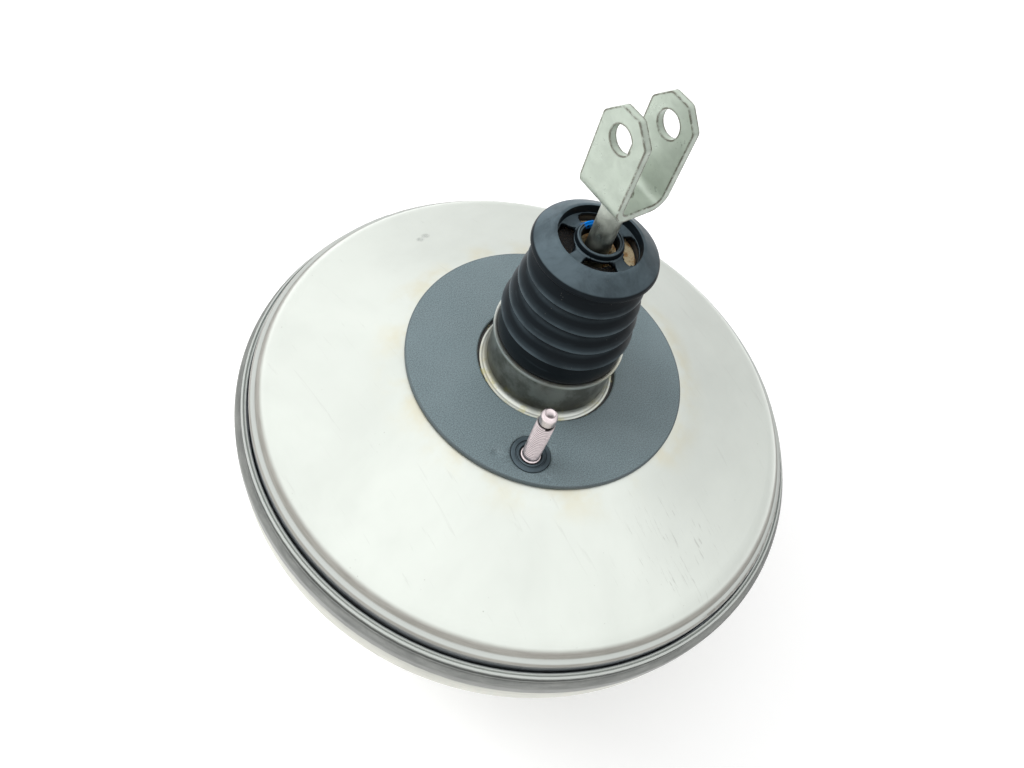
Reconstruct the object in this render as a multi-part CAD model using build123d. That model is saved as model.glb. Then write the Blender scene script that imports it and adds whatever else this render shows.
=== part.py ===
from build123d import *
from math import degrees
import os

# Single-diaphragm vacuum brake booster, with its pedal-side push rod and clevis.
#
# Frame, in millimetres: +Z is the booster's axis and points at the pedal. z = 0 is the face that
# meets the firewall. X is the axis of the clevis pin. The vacuum chamber lies below z = 0.

# ---- Firewall face -------------------------------------------------------------------
GASKET_R = 64.6            # outer radius of the mounting gasket
GASKET_T = 2.0             # gasket thickness
GASKET_GAP = 1.0           # bare ring between the neck's fillet and the gasket's hole
FACE_MARGIN = 1.2          # flat left outside the gasket

STUD_R = 4.0               # M8 threads, both ends of the booster
STUD_NECK_R = 4.4          # neck of a stud, pressed through the shell and its plate
STUD_HEAD_R = 7.0
STUD_HEAD_T = 2.6
FIREWALL_STUD_CIRCLE = 101.4   # diameter of the circle that the firewall studs lie on
FIREWALL_STUD_ANGLE = 45.0     # degrees from X to the first firewall stud
FIREWALL_STUD_COUNT = 2
FIREWALL_STUD_LENGTH = 32.5    # from the mounting face to the tip
DOG_R = 3.0                # plain pilot tip of a firewall stud
DOG_LENGTH = 6.5
STUD_SEAL_R = 8.8          # rubber collar round each firewall stud
STUD_SEAL_GAP = 0.2

# ---- Shells --------------------------------------------------------------------------
REAR_T = 1.8               # sheet of the rear shell
FRONT_T = 1.3              # sheet of the front shell
NECK_R = 28.2              # outer radius of the drawn neck
NECK_HEIGHT = 21.8         # neck above the mounting face
NECK_LIP = 1.1             # how far the neck's edge turns out
NECK_FILLET = 3.1          # bend at the foot of the neck
FACE_FILLET = 27.0         # bend from the flat face to the cone
RIM_R = 133.2              # outer radius of the hemmed rim
RIM_DEPTH = 34.0           # hem's crest below the mounting face
HEM_CREASE = 0.45          # depth and half width of the crease along the hem
SHOULDER_INSET = 10.7      # rim to the corner of the shoulder
SHOULDER_DEPTH = 21.7
SHOULDER_FILLET = 12.0
WALL_FOOT_INSET = 5.9      # rim to the foot of the sloping side wall
BEAD_INSET = 3.3           # rim to the outside of the bead above the clamped flange
BEAD_DEPTH = 28.0
FLANGE_DEPTH = 39.3        # mounting face to the top of the clamped flange
CLAMP_T = 4.0              # diaphragm's outer bead, between flange and ledge
BAND_SWELL = 2.9           # clamping band outside the rim
BAND_BEND = 0.8
WAIST_SWELL = 0.4          # neck below the band, outside the rim
WAIST_HEIGHT = 2.7
BARREL_SWELL = 1.8         # widest part of the barrel, outside the rim
BARREL_DEPTH = 58.0
CONE_INSET = 13.2          # rim to the corner where the front cone starts
CONE_DEPTH = 90.0
FRONT_SHOULDER_FILLET = 14.0
SHELL_DEPTH = 108.0        # mounting face to the master cylinder's face
FRONT_FACE_R = 58.0        # flat that the master cylinder's flange meets
FRONT_OPENING_R = 24.0     # hole for the master cylinder's nose

# ---- Reinforcement plates and the master cylinder's studs ------------------------------
PLATE_T = 3.0
REAR_PLATE_R = 61.0
FRONT_PLATE_R = 54.0
MC_STUD_SPACING = 80.0     # along X
MC_STUD_LENGTH = 24.0
MC_SEAL_T = 1.6            # wall of the master cylinder's seal ring
MC_SEAL_LIP = 0.6          # lip behind the edge of the opening

# ---- Check valve -----------------------------------------------------------------------
VALVE_INSET = 45.2         # rim to its axis, along +Y
PAD_R = 18.0               # flat boss pressed into the front shell
PAD_RISE = 1.0             # boss behind the plane of the master cylinder's face
GROMMET_HOLE_R = 12.0
GROMMET_LIP = 3.5
GROMMET_FLANGE_T = 3.0
VALVE_STEM_R = 8.0
VALVE_BORE_R = 4.5
VALVE_CUP_R = 12.5
VALVE_CUP_T = 3.0          # thickness of the seat plate
CHAMBER_R = 9.5
CHAMBER_DEPTH = 9.0
VALVE_WALL = 1.8
HOSE_R = 5.5               # nipple for the vacuum hose
HOSE_BARB = 0.8
HOSE_LENGTH = 22.0
HOSE_LEAD = 0.5            # rounded end of the nipple
HOSE_LAND = 5.0            # plain length in front of the barb
HOSE_BORE_R = 3.5
DISC_R = 7.6
DISC_T = 1.8
VALVE_SPRING_WIRE = 0.4
VALVE_SPRING_TURNS = 4

# ---- Power piston ----------------------------------------------------------------------
STROKE = 30.0              # full travel of the power piston
TAIL_R = 20.0              # tube that slides in the neck
TAIL_TOP = 75.5            # rear end of the tube above the mounting face
HUB_R = 24.5
HUB_TOP = -8.0
HUB_FLANGE_R = 33.0
HUB_FLANGE_T = 4.0
DIAPHRAGM_T = 1.8
DIAPHRAGM_BEAD_T = 4.0     # inner bead round the hub
PLATE_CARRIER_T = 1.5      # sheet of the diaphragm plate
CARRIER_FLAT_R = 57.0
CARRIER_INSET = 21.2       # rim to the edge of the diaphragm plate
CARRIER_DROP = 12.5        # fall of the diaphragm plate from its flat to its rim
CARRIER_LIP = 5.0
NOSE_R = 22.5
NOSE_END = -46.0
REACTION_R = 13.0          # bore for the reaction disc and the output rod's foot
REACTION_T = 5.0
ROD_FOOT_T = 4.5
OUTPUT_ROD_R = 5.5
OUTPUT_ROD_NECK_R = 8.5
OUTPUT_TIP_RECESS = 3.0    # adjusting screw's tip inside the master cylinder's face
ADJUSTER_R = 3.0
ADJUSTER_HEAD_R = 4.6
ADJUSTER_HEAD_H = 6.0
RETAINER_T = 1.2
RETAINER_R = 31.0
RETAINER_EYE_R = 10.5
SPRING_R = 28.5            # mean radius of the return spring
SPRING_WIRE_R = 1.7
SPRING_TURNS = 6
SEAT_T = 1.0               # washer under the return spring

# ---- Control valve in the power piston -----------------------------------------------------
SLIDE_FIT = 0.05           # radial running clearance of every slide and socket
TOUCH = 0.3                # gap kept round soft pieces
FILTER_BORE_R = 16.8
FILTER_BORE_END = 24.0
POPPET_BORE_R = 13.5
VACUUM_SEAT_Z = -2.0
VACUUM_SEAT_R = 8.8
SEAT_LIFT = 1.0            # poppet's face above the vacuum seat when released
PLUNGER_R = 7.5
PLUNGER_NOSE_R = 4.5
PLUNGER_TRAVEL = 1.4
NOSE_GAP = 1.5             # plunger's nose to the reaction disc when released
AIR_SEAT_R = 8.0
KEY_T = 3.0
KEY_TOP = -9.0
KEY_WIDTH = 13.0
KEY_REACH = 29.0
KEY_NECK_R = 4.6
BALL_R = 4.6
BALL_Z = -4.0
POPPET_T = 2.0
POPPET_SLEEVE_R = 11.0
POPPET_HEIGHT = 9.0
POPPET_EYE_R = 6.3
CAGE_T = 1.0
CAGE_HEIGHT = 5.0
POPPET_SPRING_R = 8.2
POPPET_SPRING_WIRE_R = 0.5
POPPET_SPRING_TURNS = 3
ROD_SPRING_WIRE_R = 0.8
ROD_SPRING_TURNS = 5
FELT_Z = 50.0
FELT_T = 6.0
FILTER_T = 17.5
FILTER_HOLE_R = 7.9

# ---- Neck ----------------------------------------------------------------------------------
BUSH_T = 6.0               # height of the plastic guide bush
SEAL_T = 9.0
CLIP_T = 1.4
BOOT_BEAD_T = 4.6

# ---- Push rod and clevis ---------------------------------------------------------------------
ROD_R = 4.95
ROD_NECK_R = 3.0
ROD_SHOULDER_R = 6.2
SPRING_CUP_R = 10.0
SPRING_CUP_Z = 40.0
CLEVIS_BASE_Z = 102.3      # underside of the clevis above the mounting face
CLEVIS_T = 3.0
CLEVIS_GAP = 19.0
CLEVIS_WIDTH = 21.4
CLEVIS_BEND = 3.6          # inside radius of the clevis's bends
PIN_R = 5.15               # hole for a 10 mm pin
PIN_HEIGHT = 29.5          # pin's axis above the underside of the clevis
EAR_TOP = 10.6             # metal above the pin's axis
EAR_CHAMFER = 6.5
RIVET_R = 4.0
CENTRE_MARK_R = 0.8

# ---- Dust boot --------------------------------------------------------------------------------
BOOT_T = 1.1
BOOT_CREST_R = 25.8
BOOT_VALLEY_R = 22.2
BOOT_FOOT_R = 24.4
BOOT_FOLDS = 4
BOOT_SLEEVE = 6.4          # plain sleeve above the neck
FOLD_RISE = 2.0            # height of a fold's steep underside
CREST_LAND = 2.4           # nearly cylindrical band along each crest
VALLEY_LAND = 1.0
CAP_R = 26.0
CAP_FOOT = 7.5             # cap's lower edge below the end of the valve body's tail
CAP_TOP = 4.1              # cap's flat top above the tail
CAP_SHOULDER = 7.5         # size of the cap's rounded edge
CAP_LAP = 2.5              # folded boot's end inside the cap
CAP_LAP_R = 24.0
CAP_ROOF_T = 2.0
HUB_HOLE_R = 8.1
HUB_TUBE_R = 10.8
HUB_TUBE_RISE = 3.2
SLOT_R = 16.5
SLOT_SPOKE = 24.0          # degrees of web between neighbouring slots
SLOT_PHASE = 7.0           # degrees from X to the middle of the first web
SLOT_COUNT = 4

# ---- Heights that follow ------------------------------------------------------------------
FACE_Z = -GASKET_T                         # outside of the rear shell's flat face
INNER_FACE_Z = FACE_Z - REAR_T
FLAT_R = GASKET_R + FACE_MARGIN
RIM_Z = -RIM_DEPTH
SHOULDER_R = RIM_R - SHOULDER_INSET
WALL_FOOT_R = RIM_R - WALL_FOOT_INSET
BEAD_R = RIM_R - BEAD_INSET
BEAD_Z = -BEAD_DEPTH
FLANGE_TOP = -FLANGE_DEPTH
FLANGE_BOTTOM = FLANGE_TOP - REAR_T
SHELF_Z = FLANGE_BOTTOM - CLAMP_T          # ledge under the diaphragm's outer bead
BAND_BORE_R = RIM_R + BAND_SWELL - FRONT_T
WAIST_BORE_R = RIM_R + WAIST_SWELL - FRONT_T
BARREL_BORE_R = RIM_R + BARREL_SWELL - FRONT_T
CONE_BORE_R = RIM_R - CONE_INSET - FRONT_T
CARRIER_R = RIM_R - CARRIER_INSET
VALVE_OFFSET = RIM_R - VALVE_INSET
FRONT_Z = -SHELL_DEPTH
FRONT_INNER_Z = FRONT_Z + FRONT_T
RIM_BORE_R = RIM_R - FRONT_T
NECK_BORE_R = NECK_R - REAR_T
BOOT_FOOT_Z = NECK_HEIGHT + TOUCH
PAD_Z = FRONT_Z + PAD_RISE
PAD_INNER_Z = PAD_Z + FRONT_T
SEAT_PLATE_Z = PAD_Z - GROMMET_FLANGE_T
CHAMBER_TOP = SEAT_PLATE_Z - VALVE_CUP_T
CHAMBER_END = CHAMBER_TOP - CHAMBER_DEPTH
BEAD_TOP = HUB_TOP - DIAPHRAGM_T - KEY_T
CARRIER_Z = BEAD_TOP - DIAPHRAGM_BEAD_T    # rear side of the diaphragm plate's flat
HUB_FLANGE_TOP = CARRIER_Z - PLATE_CARRIER_T
HUB_FLANGE_END = HUB_FLANGE_TOP - HUB_FLANGE_T
REACTION_TOP = NOSE_END + ROD_FOOT_T + REACTION_T
POPPET_FACE_Z = VACUUM_SEAT_Z + SEAT_LIFT
CAGE_Z = POPPET_FACE_Z + POPPET_HEIGHT
RETURN_SPRING_TOP = HUB_FLANGE_END - RETAINER_T
SPRING_SEAT_Z = FRONT_INNER_Z + SEAT_T
PIN_Z = CLEVIS_BASE_Z + PIN_HEIGHT
CAP_Z = TAIL_TOP - CAP_FOOT
ROOF_Z = TAIL_TOP + CAP_TOP
BUSH_Z = NECK_HEIGHT - BOOT_BEAD_T - CLIP_T - SEAL_T - BUSH_T


# ---- Ways of making a shape -----------------------------------------------------------------
def outline(points, closed):
    """A line through (radius, height) or (radius, height, corner radius) points."""
    corners = [(point[0], 0, point[1]) for point in points]
    bends = [point[2] if len(point) > 2 else 0 for point in points]
    return FilletPolyline(*corners, radius=bends if closed else bends[1:-1], close=closed)


def turned(*points):
    """A solid of revolution about Z from its closed half section."""
    return revolve(make_face(outline(points, True)), Axis.Z)


def parallel(wall, *points):
    """Both sides of a bent sheet: the drawn side, and the side that lies to its left.

    A point is (radius, height) or (radius, height, bend); a bend is the radius of its tight side.
    """
    spots = [Vector(point[0], point[1]) for point in points]
    runs = [(after - before).normalized() for before, after in zip(spots, spots[1:])]
    drawn, moved = [], []
    for i, (spot, point) in enumerate(zip(spots, points)):
        come, go = runs[max(i - 1, 0)], runs[min(i, len(runs) - 1)]
        normals = Vector(-come.Y, come.X) + Vector(-go.Y, go.X)
        left = spot + normals * (wall / (1 + come.dot(go)))
        bend = point[2] if len(point) > 2 else 0
        turns_left = come.cross(go).Z > 0
        drawn.append((spot.X, spot.Y, bend + wall if turns_left and bend else bend))
        moved.append((left.X, left.Y, bend if turns_left or not bend else bend + wall))
    return drawn, moved


def sheet(wall, *points):
    """The section of a bent sheet, whose wall lies to the left of the drawn side."""
    drawn, moved = parallel(wall, *points)
    return make_face(outline(drawn + moved[::-1], True))


def pressed(wall, *points):
    """A drawn sheet turned about Z."""
    return revolve(sheet(wall, *points), Axis.Z)


def ring(inner_r, outer_r, bottom, top):
    """A flat-ended ring about Z."""
    return turned((inner_r, bottom), (outer_r, bottom), (outer_r, top), (inner_r, top))


def disc(radius, bottom, top):
    """A cylinder about Z between two heights."""
    return Pos(0, 0, bottom) * Cylinder(radius, top - bottom, align=(Align.CENTER, Align.CENTER, Align.MIN))


def spun(shape, circle_r, count, angle):
    """Copies of a shape, moved out to a circle about Z."""
    return [Rot(0, 0, angle + i * 360 / count) * Pos(circle_r, 0, 0) * shape for i in range(count)]


def coil(radius, wire_r, bottom, top, turns, end_r=None):
    """A compression spring between two heights; end_r makes it conical."""
    height = top - bottom - 2 * wire_r
    cone = 0 if end_r is None else -Vector(radius - end_r, height).get_angle(Vector(0, 1))
    path = Helix(height / turns, height, radius, center=(0, 0, bottom + wire_r), cone_angle=cone)
    wire = Plane(path @ 0, z_dir=path % 0) * RegularPolygon(wire_r, 8)
    return sweep(wire, path, is_frenet=True)


# ---- Shells and what is fixed to them --------------------------------------------------------
def firewall_holes():
    return spun(disc(STUD_NECK_R, INNER_FACE_Z - PLATE_T, FACE_Z), FIREWALL_STUD_CIRCLE / 2,
                FIREWALL_STUD_COUNT, FIREWALL_STUD_ANGLE)


def master_cylinder_holes():
    return spun(disc(STUD_NECK_R, FRONT_Z, FRONT_INNER_Z + PLATE_T), MC_STUD_SPACING / 2, 2, 0)


def rear_shell():
    """Drawn rear shell: neck, flat face, conical shoulder, bead and clamped flange."""
    shell = pressed(
        REAR_T,
        (BAND_BORE_R - BAND_BEND, FLANGE_TOP),
        (BEAD_R, FLANGE_TOP, 0.4),
        (BEAD_R, BEAD_Z, 0.4),
        (WALL_FOOT_R, BEAD_Z, 0.4),
        (SHOULDER_R, -SHOULDER_DEPTH, SHOULDER_FILLET),
        (FLAT_R, FACE_Z, FACE_FILLET),
        (NECK_R, FACE_Z, NECK_FILLET),
        (NECK_R, NECK_HEIGHT - REAR_T, 0.6),
        (NECK_R + NECK_LIP, NECK_HEIGHT - REAR_T),
    )
    return shell - firewall_holes()


def front_shell():
    """Drawn front shell: hemmed rim, clamping band, waist, barrel, cone and flat front face."""
    shell = pressed(
        FRONT_T,
        (RIM_BORE_R, RIM_Z - FRONT_T),
        (RIM_BORE_R, FLANGE_TOP, 0.5),
        (BAND_BORE_R, FLANGE_TOP, BAND_BEND),
        (BAND_BORE_R, SHELF_Z, BAND_BEND),
        (WAIST_BORE_R, SHELF_Z, 0.5),
        (WAIST_BORE_R, SHELF_Z - WAIST_HEIGHT, 1.5),
        *front_cone(),
        (FRONT_OPENING_R, FRONT_INNER_Z),
    )
    hem = turned(
        (RIM_BORE_R - FRONT_T, FLANGE_TOP),
        (RIM_BORE_R, FLANGE_TOP),
        (RIM_BORE_R, RIM_Z - FRONT_T),
        (RIM_R, RIM_Z - FRONT_T),
        (RIM_R, RIM_Z, FRONT_T / 2),
        (RIM_BORE_R + HEM_CREASE, RIM_Z),
        (RIM_BORE_R, RIM_Z - HEM_CREASE),
        (RIM_BORE_R - HEM_CREASE, RIM_Z),
        (RIM_BORE_R - FRONT_T, RIM_Z, FRONT_T / 2),
    )
    pad = Pos(0, VALVE_OFFSET) * disc(PAD_R, PAD_Z, -CONE_DEPTH)
    hollow = Pos(0, VALVE_OFFSET) * disc(PAD_R - FRONT_T, PAD_INNER_Z, -BARREL_DEPTH)
    inside = turned((0, -BARREL_DEPTH), *front_cone(), (0, FRONT_INNER_Z))
    grommet_hole = Pos(0, VALVE_OFFSET) * disc(GROMMET_HOLE_R, PAD_Z, PAD_INNER_Z)
    shell = shell + hem + (pad - inside) - hollow - grommet_hole
    return shell - master_cylinder_holes()


def front_cone():
    """Inner side of the front shell from the barrel to its flat face."""
    return [(BARREL_BORE_R, -BARREL_DEPTH, 6), (CONE_BORE_R, -CONE_DEPTH, FRONT_SHOULDER_FILLET),
            (FRONT_FACE_R, FRONT_INNER_Z, 8)]


def mounting_gasket():
    hole_r = NECK_R + NECK_FILLET + GASKET_GAP
    holes = spun(disc(STUD_SEAL_R + STUD_SEAL_GAP, FACE_Z, 0), FIREWALL_STUD_CIRCLE / 2,
                 FIREWALL_STUD_COUNT, FIREWALL_STUD_ANGLE)
    return ring(hole_r, GASKET_R, FACE_Z, 0) - holes


def rear_reinforcement_plate():
    inner_r = NECK_R + NECK_FILLET + REAR_T
    return ring(inner_r, REAR_PLATE_R, INNER_FACE_Z - PLATE_T, INNER_FACE_Z) - firewall_holes()


def firewall_studs():
    """Headed M8 studs with a plain pilot tip."""
    seat = INNER_FACE_Z - PLATE_T
    stud = turned((0, seat - STUD_HEAD_T), (STUD_HEAD_R, seat - STUD_HEAD_T, 0.6), (STUD_HEAD_R, seat),
                  (STUD_NECK_R, seat), (STUD_NECK_R, 0), (STUD_R, 0),
                  (STUD_R, FIREWALL_STUD_LENGTH - DOG_LENGTH - 1),
                  (DOG_R, FIREWALL_STUD_LENGTH - DOG_LENGTH), (DOG_R, FIREWALL_STUD_LENGTH, 0.7),
                  (0, FIREWALL_STUD_LENGTH))
    return Compound(spun(stud, FIREWALL_STUD_CIRCLE / 2, FIREWALL_STUD_COUNT, FIREWALL_STUD_ANGLE))


def stud_seals():
    """Grooved rubber collars in the gasket's holes, flush once the booster is bolted up."""
    bore_r = STUD_NECK_R + STUD_SEAL_GAP
    mid_r = (bore_r + STUD_SEAL_R) / 2
    seal = turned((bore_r, FACE_Z), (STUD_SEAL_R, FACE_Z), (STUD_SEAL_R, 0, 0.7), (mid_r + 0.6, 0),
                  (mid_r, -0.6), (mid_r - 0.6, 0), (bore_r, 0, 0.3))
    return Compound(spun(seal, FIREWALL_STUD_CIRCLE / 2, FIREWALL_STUD_COUNT, FIREWALL_STUD_ANGLE))


def front_reinforcement_plate():
    inner_r = SPRING_R + SPRING_WIRE_R + TOUCH
    plate = ring(inner_r, FRONT_PLATE_R, FRONT_INNER_Z, FRONT_INNER_Z + PLATE_T)
    return plate - master_cylinder_holes()


def master_cylinder_studs():
    seat = FRONT_INNER_Z + PLATE_T
    stud = turned((0, FRONT_Z - MC_STUD_LENGTH), (STUD_R, FRONT_Z - MC_STUD_LENGTH, 0.9),
                  (STUD_R, FRONT_Z), (STUD_NECK_R, FRONT_Z), (STUD_NECK_R, seat), (STUD_HEAD_R, seat), (STUD_HEAD_R, seat + STUD_HEAD_T, 0.6),
                  (0, seat + STUD_HEAD_T))
    return Compound(spun(stud, MC_STUD_SPACING / 2, 2, 0))


def master_cylinder_seal():
    """Ring that the master cylinder's nose seals on, held by the edge of the front opening."""
    lip_r = FRONT_OPENING_R + MC_SEAL_LIP
    bore_r = FRONT_OPENING_R - MC_SEAL_T
    top = FRONT_INNER_Z + SEAT_T
    return turned((bore_r, FRONT_Z + TOUCH, 0.4), (FRONT_OPENING_R, FRONT_Z + TOUCH),
                  (FRONT_OPENING_R, FRONT_INNER_Z), (lip_r, FRONT_INNER_Z), (lip_r, top, 0.3),
                  (bore_r, top, 0.4))


# ---- Check valve -------------------------------------------------------------------------------
def check_valve_grommet():
    lip_r = GROMMET_HOLE_R + GROMMET_LIP
    section = turned(
        (VALVE_STEM_R, SEAT_PLATE_Z), (lip_r, SEAT_PLATE_Z, 1), (lip_r, PAD_Z),
        (GROMMET_HOLE_R, PAD_Z), (GROMMET_HOLE_R, PAD_INNER_Z), (lip_r - 1, PAD_INNER_Z),
        (GROMMET_HOLE_R, PAD_INNER_Z + GROMMET_FLANGE_T, 1), (VALVE_STEM_R, PAD_INNER_Z + GROMMET_FLANGE_T))
    return Pos(0, VALVE_OFFSET) * section


def check_valve_base():
    """Stem through the grommet, with the disc's seat on its outer end."""
    stem_end = PAD_INNER_Z + GROMMET_FLANGE_T + 2.5
    section = turned(
        (VALVE_BORE_R, CHAMBER_TOP), (CHAMBER_R, CHAMBER_TOP), (VALVE_CUP_R, CHAMBER_TOP),
        (VALVE_CUP_R, SEAT_PLATE_Z, 0.8), (VALVE_STEM_R, SEAT_PLATE_Z),
        (VALVE_STEM_R, stem_end - 2.5), (VALVE_STEM_R + 0.7, stem_end - 2.3),
        (VALVE_STEM_R - 0.8, stem_end), (VALVE_BORE_R, stem_end))
    return Pos(0, VALVE_OFFSET) * section


def check_valve_nipple():
    """Welded cover with the barbed spigot for the vacuum hose."""
    end = CHAMBER_END - VALVE_WALL - HOSE_LENGTH
    barb_r = HOSE_R + HOSE_BARB
    barb_z = end + HOSE_LEAD + HOSE_LAND
    section = turned(
        (HOSE_BORE_R, end), (HOSE_R, end, HOSE_LEAD), (HOSE_R, barb_z), (barb_r, barb_z + 3),
        (barb_r, barb_z + 4), (HOSE_R, barb_z + 4), (HOSE_R, CHAMBER_END - VALVE_WALL, 1.5),
        (VALVE_CUP_R, CHAMBER_END - VALVE_WALL, 2.5), (VALVE_CUP_R, CHAMBER_TOP),
        (CHAMBER_R, CHAMBER_TOP), (CHAMBER_R, CHAMBER_END), (HOSE_BORE_R, CHAMBER_END))
    return Pos(0, VALVE_OFFSET) * section


def check_valve_disc():
    return Pos(0, VALVE_OFFSET) * disc(DISC_R, CHAMBER_TOP - DISC_T, CHAMBER_TOP)


def check_valve_spring():
    spring = coil(HOSE_BORE_R + 1.5, VALVE_SPRING_WIRE, CHAMBER_END, CHAMBER_TOP - DISC_T,
                  VALVE_SPRING_TURNS)
    return Pos(0, VALVE_OFFSET) * spring


# ---- Neck ---------------------------------------------------------------------------------------
def neck_bush():
    """Plastic bearing that the valve body's tail slides in."""
    bore = TAIL_R + SLIDE_FIT
    return ring(bore, NECK_BORE_R, BUSH_Z, BUSH_Z + BUSH_T)


def neck_seal():
    """Rubber ring with one lip on the tail and a plain outer wall in the neck."""
    bottom = BUSH_Z + BUSH_T
    top = bottom + SEAL_T
    lip_r = TAIL_R + SLIDE_FIT
    return turned((TAIL_R + 2, bottom), (NECK_BORE_R, bottom), (NECK_BORE_R, top), (lip_r + 1.6, top),
                  (lip_r, top - 0.8), (lip_r, top - 2.2), (TAIL_R + 2, top - 4))


def seal_retainer():
    bottom = BUSH_Z + BUSH_T + SEAL_T
    return ring(TAIL_R + 1, NECK_BORE_R, bottom, bottom + CLIP_T)


# ---- Power piston -------------------------------------------------------------------------------
def valve_body():
    """Moulded body: tail tube, hub with its flange, stepped bore, air ports and key slot."""
    body = turned(
        (FILTER_BORE_R, TAIL_TOP), (TAIL_R, TAIL_TOP, 0.8), (TAIL_R, HUB_TOP), (HUB_R, HUB_TOP, 1),
        (HUB_R, HUB_FLANGE_TOP), (HUB_FLANGE_R, HUB_FLANGE_TOP, 0.8), (HUB_FLANGE_R, HUB_FLANGE_END, 0.8),
        (NOSE_R, HUB_FLANGE_END), (NOSE_R, NOSE_END, 0.8), (REACTION_R, NOSE_END),
        (REACTION_R, REACTION_TOP), (PLUNGER_NOSE_R + 1, REACTION_TOP),
        (PLUNGER_NOSE_R + 1, REACTION_TOP + KEY_T), (PLUNGER_R, REACTION_TOP + KEY_T),
        (PLUNGER_R, KEY_TOP - KEY_T), (VACUUM_SEAT_R, KEY_TOP - KEY_T),
        (VACUUM_SEAT_R, VACUUM_SEAT_Z), (VACUUM_SEAT_R + 1.5, VACUUM_SEAT_Z, 0.5),
        (VACUUM_SEAT_R + 2.2, VACUUM_SEAT_Z - 1.5), (POPPET_BORE_R, VACUUM_SEAT_Z - 1.5),
        (POPPET_BORE_R, FILTER_BORE_END), (FILTER_BORE_R, FILTER_BORE_END))
    slot = Pos(0, KEY_REACH / 2, KEY_TOP - KEY_T / 2) * Box(
        KEY_WIDTH + 2 * SLIDE_FIT, KEY_REACH + KEY_WIDTH, KEY_T)
    ports = spun(disc(1.6, NOSE_END, VACUUM_SEAT_Z), POPPET_BORE_R + 4.5, 2, 0)
    port_mouths = [Rot(0, 0, i * 180) * Pos(POPPET_BORE_R + 2, 0, VACUUM_SEAT_Z - 3) * Box(8, 3.2, 4)
                   for i in range(2)]
    return body - slot - ports - port_mouths


def carrier_path():
    """Front side of the diaphragm plate, from the hub to its turned-down rim."""
    front = CARRIER_Z - PLATE_CARRIER_T
    rim_r = CARRIER_R - PLATE_CARRIER_T
    return [(HUB_R, front), (CARRIER_FLAT_R, front, 12), (rim_r, front - CARRIER_DROP, 3),
            (rim_r, front - CARRIER_DROP - CARRIER_LIP)]


def diaphragm_plate():
    """Dished steel plate that carries the diaphragm's load to the hub's flange."""
    return pressed(PLATE_CARRIER_T, *carrier_path())


def diaphragm():
    """Rubber diaphragm at rest: inner bead, web over the plate, free fold and clamped outer bead."""
    hub, flat_edge, rim = parallel(PLATE_CARRIER_T, *carrier_path())[1][:3]
    bead_in = BEAD_R - REAR_T - 1.5
    bead_out = BAND_BORE_R - TOUCH
    fold_r = (CARRIER_R + bead_in) / 2
    slope = (rim[1] - flat_edge[1]) / (rim[0] - flat_edge[0])
    fold_z = flat_edge[1] + (fold_r - flat_edge[0]) * slope
    foot_z = SHELF_Z + (CLAMP_T - DIAPHRAGM_T) / 2
    web = pressed(DIAPHRAGM_T, hub, flat_edge, (fold_r, fold_z, 1.5), (fold_r + 2, foot_z, 1),
                  (bead_in + 1, foot_z))
    outer_bead = turned((bead_in, SHELF_Z, 0.5), (bead_out, SHELF_Z, 1.2), (bead_out, FLANGE_BOTTOM),
                        (bead_in, FLANGE_BOTTOM))
    inner_bead = ring(HUB_R, HUB_R + DIAPHRAGM_BEAD_T, CARRIER_Z, BEAD_TOP)
    return web + outer_bead + inner_bead


def reaction_disc():
    return disc(REACTION_R - SLIDE_FIT, REACTION_TOP - REACTION_T, REACTION_TOP)


def output_rod():
    """Rod that pushes the master cylinder, with a broad foot against the reaction disc."""
    tip = FRONT_Z + OUTPUT_TIP_RECESS + ADJUSTER_HEAD_H
    foot_top = NOSE_END + ROD_FOOT_T
    rod = turned((0, tip), (OUTPUT_ROD_R, tip, 0.6), (OUTPUT_ROD_R, NOSE_END - 12, 6),
                 (OUTPUT_ROD_NECK_R, NOSE_END - 4, 1), (OUTPUT_ROD_NECK_R, NOSE_END),
                 (REACTION_R - SLIDE_FIT, NOSE_END), (REACTION_R - SLIDE_FIT, foot_top), (0, foot_top))
    return rod - disc(ADJUSTER_R, tip, tip + 2 * ADJUSTER_HEAD_H)


def adjusting_screw():
    """Screw in the output rod's end; its domed head sets the rod's length."""
    low = FRONT_Z + OUTPUT_TIP_RECESS
    head = low + ADJUSTER_HEAD_H
    return turned((0, low), (ADJUSTER_HEAD_R, low, 3), (ADJUSTER_HEAD_R, head), (ADJUSTER_R, head),
                  (ADJUSTER_R, head + 2 * ADJUSTER_HEAD_H - 2), (0, head + 2 * ADJUSTER_HEAD_H - 2))


def output_rod_retainer():
    """Sheet cup on the hub's nose: holds the output rod in and seats the return spring."""
    return turned(
        (RETAINER_EYE_R, NOSE_END - RETAINER_T), (NOSE_R + RETAINER_T, NOSE_END - RETAINER_T, 1.4),
        (NOSE_R + RETAINER_T, RETURN_SPRING_TOP, 0.4), (RETAINER_R, RETURN_SPRING_TOP),
        (RETAINER_R, HUB_FLANGE_END), (NOSE_R, HUB_FLANGE_END), (NOSE_R, NOSE_END, 0.8),
        (RETAINER_EYE_R, NOSE_END))


def return_spring():
    return coil(SPRING_R, SPRING_WIRE_R, SPRING_SEAT_Z, RETURN_SPRING_TOP, SPRING_TURNS)


def return_spring_seat():
    outer = SPRING_R + SPRING_WIRE_R
    return ring(FRONT_OPENING_R + MC_SEAL_LIP + TOUCH, outer, FRONT_INNER_Z, SPRING_SEAT_Z)


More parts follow.
